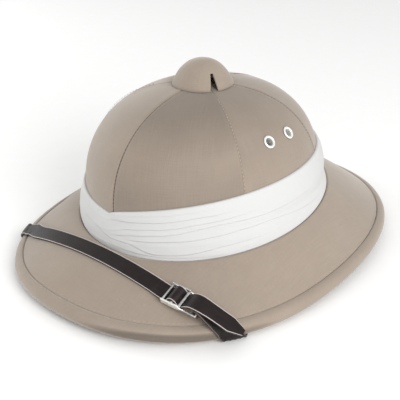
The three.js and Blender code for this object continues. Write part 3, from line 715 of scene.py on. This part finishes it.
def gore_point(angle, z, share, number):
    """A corner of a gore: share runs from 0 to 1 between its two seams."""
    depth = SEAM_DEPTHS[(number + (share > 0.5)) % GORES]
    spot = crown_point(angle, z)
    radius = hypot(spot.x, spot.y - CROWN_Y)
    width = radius * tau / GORES
    distance = min(share, 1 - share) * width
    side = 1 if share < 0.5 else -1
    keep = 0.10 * depth * max(1 - min(share, 1 - share) * 12, 0)
    spot = crown_point(angle + side * keep / radius, z)
    outward = crown_outward(angle, z) if z < DOME_TOP_Z - 2.5 else Vector((0, 0, 1))
    swell = 0.28 * ripple(spot, 46, 1) + 0.10 * ripple(spot, 17, 2) + 0.03 * ripple(spot, 6, 3)
    swell *= ramp(0, 5, distance) * ramp(DOME_TOP_Z - 0.1, DOME_TOP_Z - 5.5, z)
    return spot + outward * (swell - seam_dip(distance, depth))


def on_gore_line(row):
    """A place on the line up which the gores' cloth is measured."""
    return crown_point(0.5, crown_height(0.5, row))


CROWN_RISE = lengths_along([on_gore_line(row) for row in range(CROWN_ROWS + 1)])


def gore(number):
    """A cloth panel between two of the crown's seams."""
    start = number * tau / GORES

    def place(i, j):
        share = pulled(i / COLUMNS)
        angle = start + share * tau / GORES
        return gore_point(angle, crown_height(angle, j), share, number)

    def cloth(i, j):
        share = pulled(i / COLUMNS)
        spot = crown_point(start + 0.5, crown_height(start + 0.5, j))
        return (share - 0.5) * tau / GORES * hypot(spot.x, spot.y - CROWN_Y) + 200 * number, CROWN_RISE[j]

    bm = sheet(COLUMNS, CROWN_ROWS, place, cloth)
    facing(bm, lambda spot: spot - HEAD_MIDDLE)
    obj = link(f"gore_{number + 1}", bm, khaki_gores[number])
    thicken(obj, CLOTH)
    return obj


def eyelet_frame(degrees):
    """An eyelet's frame, with +Z out of the crown."""
    angle = radians(degrees)
    return stood_up(crown_point(angle, EYELET_Z), crown_outward(angle, EYELET_Z))


def bore(degrees):
    """A cutter for an eyelet's hole."""
    bm, radius = bmesh.new(), EYELET_BARREL + 0.2
    bmesh.ops.create_cone(bm, cap_ends=True, segments=32, radius1=radius, radius2=radius, depth=30)
    return link("bore", placed(bm, eyelet_frame(degrees)))


for number in range(GORES):
    panel = gore(number)
    carve(panel, [bore(d) for d in EYELET_ANGLES if d * GORES // 360 == number])
    piece(panel, "khaki_cloth", f"crown_panel_{number + 1}")


def pith_wall():
    """The crown's stiff wall, a closed ring from the brim up to the vent."""
    outer = [(row, CLOTH + GAP) for row in range(0, CROWN_ROWS + 1, 3)]
    rows = outer + [(row, inset + PITH) for row, inset in outer[::-1]]

    def place(angle, j):
        row, inset = rows[j]
        spot = crown_point(angle, crown_height(angle, row, inset), inset)
        return spot + Vector((spot.x, spot.y - CROWN_Y, 0)).normalized() * 0.25 * ripple(spot, 14, 5)

    return ring("pith_wall", 120, len(rows), place, lambda i, j: (i * 5, j * 5), pith)


wall = pith_wall()
carve(wall, [bore(d) for d in EYELET_ANGLES])
piece(wall, "pith", "crown_shell")

EYELET_FLANGE = [
    (3.1, -7.4), (3.05, -2), (3.1, 0.3), (3.35, 0.95), (3.9, 1.35), (4.5, 1.2), (4.85, 0.85), (4.95, 0.5),
    (4.6, 0.4),
]
EYELET_PROFILE = smooth_profile(EYELET_FLANGE, 3) + [(EYELET_BARREL, 0.35), (EYELET_BARREL, -7.4)]
for number, degrees in enumerate(EYELET_ANGLES):
    eyelet = placed(turned(EYELET_PROFILE, 40), eyelet_frame(degrees))
    piece(link(f"eyelet_ring_{number + 1}", eyelet, nickel), "nickel", f"eyelet_{number + 1}")

# ---------- ventilation cap and its post ----------


def vent_cap():
    """A cloth-covered dome on the crown's top, with a slit on three sides."""
    heights = [sin(k / 16 * pi / 2) for k in range(17)]
    shares = [(max(1 - h**CAP_FLARE, 0) ** CAP_ROUNDING, h) for h in heights]
    outer = [(CAP_RADIUS * r, CAP_HEIGHT * h) for r, h in shares[::-1]]
    lip = [(CAP_RADIUS - 0.3, -0.2), (CAP_RADIUS - CAP_WALL / 2, -0.3), (CAP_RADIUS - CAP_WALL + 0.35, -0.2)]
    inner = [((CAP_RADIUS - CAP_WALL) * r, (CAP_HEIGHT - CAP_WALL) * h) for r, h in shares]
    bm = turned([(0 if r < 1e-6 else r, z) for r, z in outer + lip + inner], 96)
    for vert in bm.verts:
        out = Vector((vert.co.x, vert.co.y, vert.co.z * 1.2)).normalized()
        vert.co += out * (0.14 * ripple(vert.co, 13, 8) + 0.04 * ripple(vert.co, 4, 9))
    bmesh.ops.translate(bm, vec=(0, CROWN_Y, CAP_RIM_Z), verts=bm.verts)
    lay_cloth(bm, lambda vert: vert.co.xy)
    return link("vent_dome", bm, khaki_brim)


def slit(degrees):
    """A cutter for a slit: a wedge that is narrow at its top."""
    bm = block((-2.4, -32, SLIT_TOP_Z - 14), (5.0, -8, SLIT_TOP_Z))
    for vert in bm.verts:
        if vert.co.z > 0:
            vert.co.x = 0.3 if vert.co.x < 0 else 2.4
    turn = Matrix.Rotation(radians(degrees), 4, "Z")
    return link("slit", placed(bm, Matrix.Translation((0, CROWN_Y, CAP_RIM_Z)) @ turn))


cap = vent_cap()
carve(cap, [slit(d) for d in CAP_SLITS])
piece(cap, "khaki_cloth", "vent_cap")


def vent_stud():
    """The post that carries the cap, from its flange under the crown's top."""
    wide, thin, low, top = STUD_FLANGE_RADIUS, STUD_RADIUS, STUD_FLANGE_Z, STUD_TOP_Z
    flange = [(0, low), (wide - 0.4, low), (wide, low + 0.4), (wide, low + 1.8), (wide - 0.4, low + 2.2)]
    stem = [(thin + 0.6, low + 2.2), (thin, low + 2.8), (thin, top - 0.6), (thin - 0.5, top), (0, top)]
    return link("vent_stud", placed(turned(flange + stem, 32), Matrix.Translation((0, CROWN_Y, 0))), nickel)


piece(vent_stud(), "nickel", "vent_post")

# ---------- brim and binding ----------

BRIM_STEPS = 288


def seam_depth(angle):
    """The binding's seam is pulled in less in front and on the wearer's left."""
    return lerp(0.85, 0.3, ramp(0.3, 0.6, cos(angle - radians(50))))


def brim():
    """The brim's stiff board in its cloth, a closed ring with a turned-down edge at the binding.
    Its section runs over the top, down the edge, through the rim's core, back under and up the foot."""
    section = [("top", k / 26) for k in range(26)] + [("top", 1 - near / BRIM_SLOPE) for near in (1.2, 0.5)]
    section += [("edge", 0.6), ("edge", 2.2), ("core", 2), ("core", 4), ("core", RIM_UNDER_ROW)]
    section += [("under", 0.97)] + [("under", k / 10) for k in range(9, -1, -1)] + [("foot", 0)]

    def spot_at(angle, kind, value):
        if kind == "top":
            spot = brim_top(angle, value)
            swell = 0.30 * ripple(spot, 40, 11) + 0.12 * ripple(spot, 15, 12)
            swell += 0.10 * ripple(spot, 7, 13) * ramp(0.75, 0.97, value)
            spot.z += swell * ramp(0, 0.1, value) - seam_depth(angle) * ramp(0.985, 1.0, value)
            return spot
        if kind == "edge":
            spot = rim_point(angle, 0)
            outward = rim_outward(angle)
            return spot + Vector((-outward.x * 0.35, -outward.y * 0.35, -value))
        if kind == "core":
            return rim_point(angle, value, -CLOTH - GAP)
        if kind == "under":
            spot = brim_top(angle, value)
            spot.z = max(spot.z - BRIM_DROP, rim_point(angle, RIM_LAST_ROW).z)
            spot.z += 0.2 * ripple(spot, 30, 14)
            return spot
        spot = crown_point(angle, base_z(angle), -GAP)
        return spot - Vector((0, 0, BRIM_DROP))

    def place(angle, j):
        return spot_at(angle, *section[j])

    def cloth(i, j):
        return place(i / BRIM_STEPS * tau, j % len(section)).xy

    return ring("brim_board", BRIM_STEPS, len(section), place, cloth, khaki_brim)


def binding():
    """The bias strip that is wrapped round the rim."""
    outer = [RIM_LAST_ROW * k / 26 for k in range(27)]
    rows = [(r, 0) for r in outer] + [(r, -CLOTH) for r in outer[::-2]]
    lengths = lengths_along([rim_point(0.8, *row) for row in rows + rows[:1]])

    def place(angle, j):
        row, lift = rows[j]
        spot = rim_point(angle, row, lift)
        if lift == 0:
            lift = 0.10 * ripple(spot, 9, 21) + 0.16 * ripple(spot, 28, 22)
            lift *= ramp(0, 0.8, row) * ramp(5.0, 3.4, row)
            spot = rim_point(angle, row, lift)
            spot.z -= seam_depth(angle) * exp(-row / 0.10)
        return spot

    def bias(i, j):
        around, over = i / BRIM_STEPS * RIM_GIRTH, lengths[j]
        return (around + over) * sqrt(0.5), (around - over) * sqrt(0.5)

    return ring("rim_binding", BRIM_STEPS, len(rows), place, bias, khaki_bias)


piece(brim(), "khaki_cloth", "brim")
piece(binding(), "khaki_cloth", "brim_binding")


def stitches(name, spots, thread):
    """A row of stitches: spots are (middle, along, outward)."""
    bm = bmesh.new()
    for middle, along, outward in spots:
        made = bmesh.ops.create_uvsphere(bm, u_segments=6, v_segments=4, radius=0.5)["verts"]
        across = outward.cross(along).normalized()
        lie = Matrix((along.normalized() * 2.1, across * 0.45, outward.normalized() * 0.4)).transposed()
        bmesh.ops.transform(bm, matrix=Matrix.Translation(middle) @ lie.to_4x4(), verts=made)
    return piece(link(name, bm, thread), "khaki_cloth")


def paces(values, place, pace):
    """Places a pace apart on the line that place(value) draws, as (value, place, way along)."""
    before, travelled = place(values[0]), 0.0
    for value in values[1:]:
        spot = place(value)
        travelled += (spot - before).length
        if travelled > pace:
            yield value, spot, spot - before
            travelled = 0.0
        before = spot


def brim_stitch_spots():
    """Along the brim, just inside its binding."""
    turns = [k / 2880 * tau for k in range(2881)]
    for angle, spot, along in paces(turns, lambda angle: brim_top(angle, 1 - 1.84 / BRIM_SLOPE), 3.3):
        outward = rim_outward(angle) * 0.35
        yield spot - Vector((0, 0, 0.12)), along, Vector((*outward, 1))


def gore_stitch_spots(seams, sunk):
    """Up the crown's seams, from under the band's edge to under the cap."""
    for number in seams:
        angle, inset = number * tau / GORES, SEAM_DEPTHS[number] * 0.85 - 0.25 + sunk
        heights = [lerp(band_top_z(angle) - 2, DOME_TOP_Z - 3, k / 899) for k in range(900)]
        for z, spot, along in paces(heights, lambda z: crown_point(angle, z, inset), 2.9):
            yield spot, along, crown_outward(angle, z)


stitches("brim_stitching", brim_stitch_spots(), khaki_thread)
# Dark thread on the seams whose grooves lie in shade, painted shade, and pale thread on the lit seam, a
# painted highlight.
shaded_spots = [*gore_stitch_spots((0,), -0.4), *gore_stitch_spots((2, 3, 4, 5), -0.9)]
stitches("crown_stitching_painted_shade", shaded_spots, thread_painted_shade)
stitches("crown_stitching_painted_highlight", gore_stitch_spots((1,), -0.05), thread_painted_highlight)

# ---------- pugaree ----------

BAND_STEPS, BAND_ROWS = 420, 110
BAND_RUN, BAND_CLOTH = 640, 48
# How thick the band is at shares of its height.
BAND_THICKNESS = [
    (0, 2.9), (0.03, 3.1), (0.12, 3.7), (0.3, 4.2), (0.55, 4.2), (0.85, 3.0), (0.97, 2.0), (0.992, 1.6),
    (1, 1.0),
]
# Folds that face down, as (degrees, share of the band's height) and (degrees, depth).
FOLDS = [
    ([(5, 0.902), (11, 0.928), (20, 0.92), (28, 0.909), (34, 0.913), (45, 0.919)],
     [(6, 0), (12, 0.35), (38, 0.4), (48, 0)]),
    ([(-2, 0.844), (6, 0.812), (11, 0.798), (24, 0.787), (30, 0.798), (38, 0.811), (44, 0.805), (58, 0.823)],
     [(-2, 0), (5, 0.45), (12, 0.9), (36, 0.9), (44, 0.6), (57, 0)]),
    ([(0, 0.551), (8, 0.632), (17, 0.651), (24, 0.65), (30, 0.656), (36, 0.685), (45, 0.689), (54, 0.698),
      (66, 0.706)],
     [(0, 0), (6, 0.5), (13, 0.8), (48, 0.8), (56, 0.5), (66, 0)]),
    ([(0, 0.445), (10, 0.504), (19, 0.532), (25, 0.537), (31, 0.553), (39, 0.597), (47, 0.617), (54, 0.603),
      (61, 0.586), (69, 0.565), (77, 0.558), (84, 0.552), (100, 0.543)],
     [(0, 0), (6, 0.5), (15, 1.0), (66, 1.0), (78, 0.55), (90, 0.2), (104, 0)]),
    ([(8, 0.39), (19, 0.401), (25, 0.407), (34, 0.402), (41, 0.411), (50, 0.421), (57, 0.43), (64, 0.42),
      (72, 0.412), (80, 0.367), (88, 0.313), (96, 0.257), (110, 0.184), (124, 0.143)],
     [(8, 0), (14, 0.7), (24, 0.95), (58, 0.8), (80, 0.6), (102, 0.4), (122, 0)]),
    ([(100, 0.758), (180, 0.70), (262, 0.75), (320, 0.80)], [(104, 0), (150, 0.35), (270, 0.4), (322, 0)]),
    ([(110, 0.491), (180, 0.45), (262, 0.52), (330, 0.58)], [(110, 0), (150, 0.45), (280, 0.4), (328, 0)]),
    ([(118, 0.224), (180, 0.20), (262, 0.26), (330, 0.30)], [(122, 0), (160, 0.45), (280, 0.35), (326, 0)]),
]
# The upper edge of the turn that lies over the others, and a line along the lower hem.
WRAP_EDGE = [
    (-9, 0.531), (-6, 0.485), (-2.7, 0.426), (1.4, 0.342), (5.7, 0.33), (10.5, 0.303), (13.2, 0.249),
    (16.6, 0.183), (20, 0.141), (25, 0.132), (30, 0.137), (35, 0.145), (41, 0.177), (47, 0.208), (56, 0.214),
    (66, 0.2), (84, 0.192), (100, 0.184),
]
WRAP_DEPTH = [(-10, 0), (-5, 0.4), (14, 0.5), (22, 0.8), (40, 0.75), (52, 0.4), (66, 0.2), (92, 0)]
HEM_LINE = [
    (-13, 0.117), (-4.3, 0.16), (1.3, 0.179), (5.5, 0.155), (9.4, 0.132), (15, 0.105), (23, 0.077),
    (39, 0.065), (60, 0.062),
]
HEM_DEPTH = [(-14, 0), (-8, 0.5), (10, 0.6), (35, 0.45), (60, 0)]
FOLD_CREST, FOLD_STEP = 0.62, 0.95
RELIEFS = [(*fold, 0.95) for fold in FOLDS] + [(WRAP_EDGE, WRAP_DEPTH, 1), (HEM_LINE, HEM_DEPTH, 0.6)]


def fold_relief(below, depth):
    """A fold that faces down, at a distance in millimetres below its crest: a slow rise to the
    crest, a steep step down and a slow return."""
    if below < 0:
        return FOLD_CREST * depth * exp(below / 2.6)
    if below < FOLD_STEP:
        return FOLD_CREST * depth * lerp(1, -1, ramp(0, FOLD_STEP, below))
    return -FOLD_CREST * depth * exp((FOLD_STEP - below) / 2.4)


def band_relief(angle, share, height):
    """How far the band's cloth stands out of its plain surface."""
    degrees = (angle * 180 / pi + 40) % 360 - 40
    total = 0.0
    for line, depths, weight in RELIEFS:
        depth = read(depths, degrees) * weight
        if depth > 0:
            total += fold_relief((read(line, degrees) - share) * height, depth)
    return total


def pugaree():
    """The wound white band, with its folds and its hems."""
    outer = [k / BAND_ROWS for k in range(BAND_ROWS + 1)]
    inner = [1 - k / 10 for k in range(11)]
    section = [(s, True) for s in outer] + [(s, False) for s in inner]

    def place(angle, j):
        share, front = section[j]
        low, high = base_z(angle) - 0.35, band_top_z(angle)
        z = lerp(low, high, share)
        if not front:
            return crown_point(angle, z, 0.3)
        thick = read(BAND_THICKNESS, share)
        relief = band_relief(angle, share, high - low)
        soft = 0.28 * noise.noise(Vector((angle * 3.1, share * 2.2, 7)))
        soft += 0.22 * noise.noise(Vector((angle * 6, z * 0.16 - angle * 0.9, 3)))
        soft += 0.06 * noise.noise(Vector((angle * 22, z * 0.45, 5)))
        lift = (relief + soft) * ramp(0, 0.07, share) * ramp(1.0, 0.93, share)
        return crown_point(angle, z, -max(thick + lift, 0.8))

    def cloth(i, j):
        share, front = section[j % len(section)]
        return i / BAND_STEPS * BAND_RUN, share * BAND_CLOTH + (0 if front else 60)

    return ring("wound_band", BAND_STEPS, len(section), place, cloth, white_cotton)


band = piece(pugaree(), "white_cloth", "pugaree")

# ---------- chin strap ----------

HALF_WALL = STRAP_THICK / 2
HALF_WIDTH = STRAP_WIDTH / 2
ON_BRIM = STRAP_GAP + HALF_WALL
# The strap's section, as (across, rise): its face, a pale worn corner, its side and its flesh.
SECTION_FACE = [(-6, 0.88), (-5.3, 0.9), (-2.6, 0.98), (0, 1.0), (2.6, 0.98), (5.65, 0.89), (6, 0.88)]
SECTION_CORNER = [(6.2, 0.76), (6.32, 0.56)]
SECTION_SIDE = [(6.35, 0.42), (6.35, -0.5), (6.1, -0.88)]
SECTION_FLESH = [(3, -0.9), (0, -0.9), (-3, -0.9)]
SECTION_EDGE = SECTION_CORNER + SECTION_SIDE
STRAP_SECTION = SECTION_FACE + SECTION_EDGE + SECTION_FLESH + [(-a, r) for a, r in SECTION_EDGE[::-1]]
FACE_MIDDLE, FLESH_MIDDLE = 3, len(SECTION_FACE) + len(SECTION_EDGE) + 1


def brim_surface(x, y):
    """The point of the brim's upper surface above a place on the ground."""
    place, near = Vector((x, y)), atan2(x, CROWN_Y - y)
    low, high = near - 0.4, near + 0.4

    def miss(angle):
        start, end = brim_top(angle, 0).xy, brim_top(angle, 1).xy
        return (end - start).cross(place - start)

    sign = miss(low) > 0
    for _ in range(36):
        angle = (low + high) / 2
        if (miss(angle) > 0) == sign:
            low = angle
        else:
            high = angle
    start, end = brim_top(low, 0).xy, brim_top(low, 1).xy
    return brim_top(low, (place - start).length / (end - start).length)


def brim_outward(x, y):
    """The way square out of the brim's upper surface."""
    across = brim_surface(x + 0.5, y) - brim_surface(x - 0.5, y)
    back = brim_surface(x, y + 0.5) - brim_surface(x, y - 0.5)
    return across.cross(back).normalized()


def strap_y(x):
    """The straps' line over the brim, which bends back towards its ends."""
    return STRAP_Y + STRAP_BACK_SWEEP * (x / STRAP_SEAM_X) ** 4


def on_brim(x, lift):
    """A station of a strap: the middle of its wall and the way its face looks."""
    face = brim_outward(x, strap_y(x))
    return brim_surface(x, strap_y(x)) + face * lift, face


def buckle_frame():
    """The buckle lies along its own X, with +Z away from the brim, tilted up at its right end."""
    out = brim_outward(BUCKLE_X, strap_y(BUCKLE_X))
    foot = brim_surface(BUCKLE_X, strap_y(BUCKLE_X))
    along = brim_surface(BUCKLE_X + 1, strap_y(BUCKLE_X + 1)) - foot
    across = out.cross(along).normalized()
    turn = Matrix((across.cross(out), across, out)).transposed().to_4x4()
    tilt = Matrix.Rotation(-BUCKLE_TILT, 4, "Y")
    return Matrix.Translation(foot + out * BUCKLE_RAISE) @ turn @ tilt


BUCKLE_FRAME = buckle_frame()


def in_buckle(along, across, lift, face):
    """A station of a strap, in the buckle's frame."""
    return BUCKLE_FRAME @ Vector((along, across, lift)), (BUCKLE_FRAME.to_3x3() @ Vector(face)).normalized()


RIM_ROWS = [k / 4 for k in range(4 * RIM_UNDER_ROW + 1)]


def over_rim(angle, out, lift):
    """A place on the brim and round its rim: out is the way past the binding's upper seam, where a
    taut strap bridges a shallow hollow."""
    lift += 0.7 * exp(-((out / 6) ** 2)) - 0.4 * ramp(2, 8, out)
    if out <= 0:
        slope = (brim_top(angle, 1) - brim_top(angle, 0)).length
        spot = brim_top(angle, 1 + out / slope)
        return spot + brim_outward(spot.x, spot.y) * lift
    lengths = lengths_along([rim_point(angle, row) for row in RIM_ROWS])
    for number, row in enumerate(RIM_ROWS[1:]):
        start, end = lengths[number : number + 2]
        if out <= end:
            before, after = rim_point(angle, RIM_ROWS[number], lift), rim_point(angle, row, lift)
            return before.lerp(after, (out - start) / (end - start))
    spot = rim_point(angle, RIM_UNDER_ROW)
    spot.z = rim_bottom(angle) - lift
    return spot - rim_outward(angle).to_3d() * (out - lengths[-1])


def fold_sections(side, start, end, steps):
    """Sections of a strap that comes up slantwise over the rim. side is +1 on the wearer's left."""
    reach = rim_outline(STRAP_REST_ANGLE).length

    def corner(travelled, across, rise):
        sideways = -side * across
        out = travelled * cos(STRAP_SLANT) - sideways * sin(STRAP_SLANT)
        round_it = travelled * sin(STRAP_SLANT) + sideways * cos(STRAP_SLANT)
        return over_rim(side * (STRAP_SEAM_ANGLE + round_it / reach), out, ON_BRIM + rise)

    ways = [lerp(start, end, k / steps) for k in range(steps, -1, -1)]
    return [[corner(way, *place) for place in STRAP_SECTION] for way in ways]


def middle_of(section):
    """The station in the middle of a section."""
    face, flesh = section[FACE_MIDDLE], section[FLESH_MIDDLE]
    return (face + flesh) / 2, (face - flesh).normalized()


def strap_line(stations, spacing):
    """Evenly spaced (middle, face, along) on a smooth curve through stations."""
    values = [Vector((*middle, *face)) for middle, face in stations]
    ends = [2 * values[0] - values[1], *values, 2 * values[-1] - values[-2]]
    samples = []
    for a, b, c, d in zip(ends, ends[1:], ends[2:], ends[3:]):
        t0, t1, t2 = (max((q - p).to_3d().length, 1e-3) ** 0.5 for p, q in ((a, b), (b, c), (c, d)))
        leave = ((b - a) / t0 - (c - a) / (t0 + t1) + (c - b) / t1) * t1
        arrive = ((c - b) / t1 - (d - b) / (t1 + t2) + (d - c) / t2) * t1
        for k in range(24):
            f = k / 24
            bend = (3 * (c - b) - 2 * leave - arrive) * f * f + (2 * (b - c) + leave + arrive) * f**3
            samples.append(b + leave * f + bend)
    samples.append(values[-1])
    lengths = lengths_along([sample.to_3d() for sample in samples])
    count, line, at = round(lengths[-1] / spacing), [], 0
    for k in range(count + 1):
        wanted = lengths[-1] * k / count
        while at < len(samples) - 2 and lengths[at + 1] < wanted:
            at += 1
        share = (wanted - lengths[at]) / max(lengths[at + 1] - lengths[at], 1e-9)
        value = samples[at].lerp(samples[at + 1], share)
        along = (samples[at + 1] - samples[at]).to_3d().normalized()
        line.append((value.to_3d(), Vector(value[3:]), along))
    return line


def flat_sections(stations, spacing, pointed=False):
    """Sections of a strap along its stations, which may end in a cut point."""
    sections = []
    line = strap_line(stations, spacing)[1:-1]
    for number, (middle, face, along) in enumerate(line):
        face = (face - along * face.dot(along)).normalized()
        across = face.cross(along)
        left = (len(line) - 1 - number) * spacing
        narrow = lerp(TIP_WIDTH / STRAP_WIDTH, 1, min(left / TIP_CUT, 1)) if pointed else 1
        sections.append([middle + across * a * narrow + face * r for a, r in STRAP_SECTION])
    return sections


def ribbon(name, sections, cut_edge, *nodes):
    """A strap through its sections, with its face, its cut edges and its flesh side."""
    around = len(STRAP_SECTION)
    lengths = lengths_along([middle_of(section)[0] for section in sections])
    girth = lengths_along([Vector(corner) for corner in STRAP_SECTION + STRAP_SECTION[:1]])
    flesh_from, corner = len(SECTION_FACE) + len(SECTION_EDGE) - 1, len(SECTION_CORNER)
    # Pale rows: the cut edges and worn corners in the leather's own pale colour, and on the +across side
    # also the face's outer strip, a painted highlight.
    pale = [*range(len(SECTION_FACE) - 2, len(SECTION_FACE) - 1 + corner), *range(around - corner, around)]
    flesh = range(flesh_from, flesh_from + len(SECTION_FLESH) + 1)
    bm = sheet(
        len(sections) - 1, around,
        place=lambda i, j: sections[i][j % around],
        cloth=lambda i, j: (lengths[i], girth[j] + 0.4),
        paint=lambda row: 1 if row in pale else 2 if row in flesh else 0,
    )
    ends = bmesh.ops.holes_fill(bm, edges=[e for e in bm.edges if e.is_boundary], sides=0)["faces"]
    for face in ends:
        face.material_index = 1
    face_out(bm)
    return piece(link(name, bm, leather_face, cut_edge, leather_flesh), "strap_leather", *nodes)


def hidden_stations(side, under_rim):
    """Stations from under the rim to past the rivet inside the crown."""
    inner = CLOTH + GAP + PITH

    def on_wall(degrees, rise, clear):
        angle = side * radians(degrees)
        z = base_z(angle) - BRIM_DROP + rise
        out = crown_outward(angle, z)
        return crown_point(angle, z, inner + clear), Vector((-out.x, -out.y, 0)).normalized()

    corner, corner_face = on_wall(RIVET_ANGLE - 14, -4, 3.5)
    under, under_face = under_rim
    between = under.lerp(corner, 0.45) - Vector((0, 0, 3))
    clear = HALF_WALL + 7 * GAP
    climb = ((7, 7), (0, RIVET_RISE), (-3, RIVET_RISE + 5))
    climbing = [on_wall(RIVET_ANGLE - short, rise, clear) for short, rise in climb]
    turning = (corner_face + Vector((0, 0, -1))).normalized()
    return [under_rim, (between, under_face), (corner, turning), *climbing]


# Where each strap's fold over the rim starts on the brim, and where both end under it.
FOLD_START, BUCKLE_FOLD_START = -12, 9
RIM_LENGTH = lengths_along([rim_point(STRAP_REST_ANGLE, row) for row in RIM_ROWS])[-1]
FOLD_END = (RIM_LENGTH + 2) / cos(STRAP_SLANT)


def anchored_sections(side, spacing=1.6):
    """From the rivet under the brim and over the rim."""
    start = FOLD_START if side < 0 else BUCKLE_FOLD_START
    fold = fold_sections(side, start, FOLD_END, 40)
    hidden = hidden_stations(side, middle_of(fold[0]))
    return [*flat_sections(hidden[::-1], spacing), *fold]


def long_strap():
    """From the wearer's right, over the brim and through the buckle to its free end."""
    anchored = anchored_sections(-1)
    run = [middle_of(anchored[-1])]
    run += [on_brim(x, ON_BRIM) for x in (-80, -65, -50, -25, 0, 25, 45, 54)]
    threaded = [run[-1]] + [in_buckle(*spot, (0, roll, 1)) for *spot, roll in THREADING]
    sections = [*anchored, *flat_sections(run, 1.6), *flat_sections(threaded, 0.55, pointed=True)]
    return ribbon("strap_with_free_end", sections, leather_edge, "strap_long")


def on_loop(angle, past=0):
    """A station of the short strap's loop, or past its end along the way it leaves the bar."""
    reach = BUCKLE_WIRE / 2 + 2 * GAP + HALF_WALL
    along = BUCKLE_BARS + reach * cos(angle) + past * sin(LOOP_LEAVES)
    lift = BUCKLE_LOWER_BAR_Z + reach * sin(angle) - past * cos(LOOP_LEAVES)
    return in_buckle(along, 0, lift, (cos(angle), 0, sin(angle)))


def short_strap():
    """From the wearer's left to the loop that holds the buckle."""
    anchored = anchored_sections(1)
    stations = [middle_of(anchored[-1]), on_loop(LOOP_LEAVES, 5)]
    stations += [on_loop(LOOP_LEAVES + radians(turn)) for turn in range(0, 181, 30)]
    stations += [on_loop(LOOP_LEAVES + pi, past) for past in (2, 4)]
    sections = [*anchored, *flat_sections(stations, 0.7)]
    # Its cut edges take the darker copy, painted shade.
    return ribbon("strap_with_buckle", sections, leather_shaded_edge, "strap_short")


long_strap()
short_strap()


def bar(low, high, bevel, polish_and_highlight=False):
    """A straight bar with softened edges, between two corners in the buckle's frame."""
    bm = block(low, high)
    bmesh.ops.bevel(
        bm, geom=list(bm.edges), offset=bevel, segments=3, profile=0.5, affect="EDGES", material=-1
    )
    # The near rail takes the bright nickel as a painted reflection, the other bars the darker copy as
    # painted shade.
    for face in bm.faces:
        face.material_index = int(polish_and_highlight)
    return link("bar", placed(bm, BUCKLE_FRAME), shaded_nickel, nickel)


def buckle():
    """A three-bar buckle: a deeper window for the long strap and a flatter one for the loop."""
    inside, outside = HALF_WIDTH + 0.5, HALF_WIDTH + 1.9
    half = BUCKLE_WIRE / 2
    pieces = []
    for side in (-1, 1):
        near, far = sorted((side * inside, side * outside))
        # The near side's upper rail gets the bright nickel, a painted reflection.
        pieces.append(bar((-BUCKLE_HALF_LENGTH, near, 2.0), (half, far, 6.6), 0.55, polish_and_highlight=side < 0))
        pieces.append(bar((-half, near, 2.6), (BUCKLE_HALF_LENGTH, far, 4.4), 0.5))
    bars = (
        (-BUCKLE_BARS, BUCKLE_UPPER_BAR_Z, half), (0, BUCKLE_UPPER_BAR_Z, 1.1),
        (BUCKLE_HIDDEN_BAR, BUCKLE_HIDDEN_BAR_Z, half), (BUCKLE_BARS, BUCKLE_LOWER_BAR_Z, half),
    )
    for x, z, wide in bars:
        pieces.append(bar((x - wide, -inside - 0.4, z - 0.7), (x + wide, inside + 0.4, z + 0.7), 0.45))
    first, *others = pieces
    carve(first, others, "UNION")
    first.name = first.data.name = "slide_buckle"
    return first


piece(buckle(), "nickel", "buckle")


def rivet(side):
    """A rivet that holds a strap's end to the inside of the crown."""
    middle, face = hidden_stations(side, middle_of(fold_sections(side, 0, FOLD_END, 1)[0]))[-2]
    low, end = -HALF_WALL - GAP, HALF_WALL + 3
    head = smooth_profile([(0, low - 1.3), (1.6, low - 1.2), (3.0, low - 0.7), (3.6, low - 0.1)], 3)
    shank = [(3.6, low), (1.5, low), (1.5, end), (0, end)]
    name = "right" if side < 0 else "left"
    bm = placed(turned(head + shank, 32), stood_up(middle, -face))
    return piece(link(f"rivet_{name}", bm, nickel), "nickel", f"strap_rivet_{name}")


rivet(-1)
rivet(1)
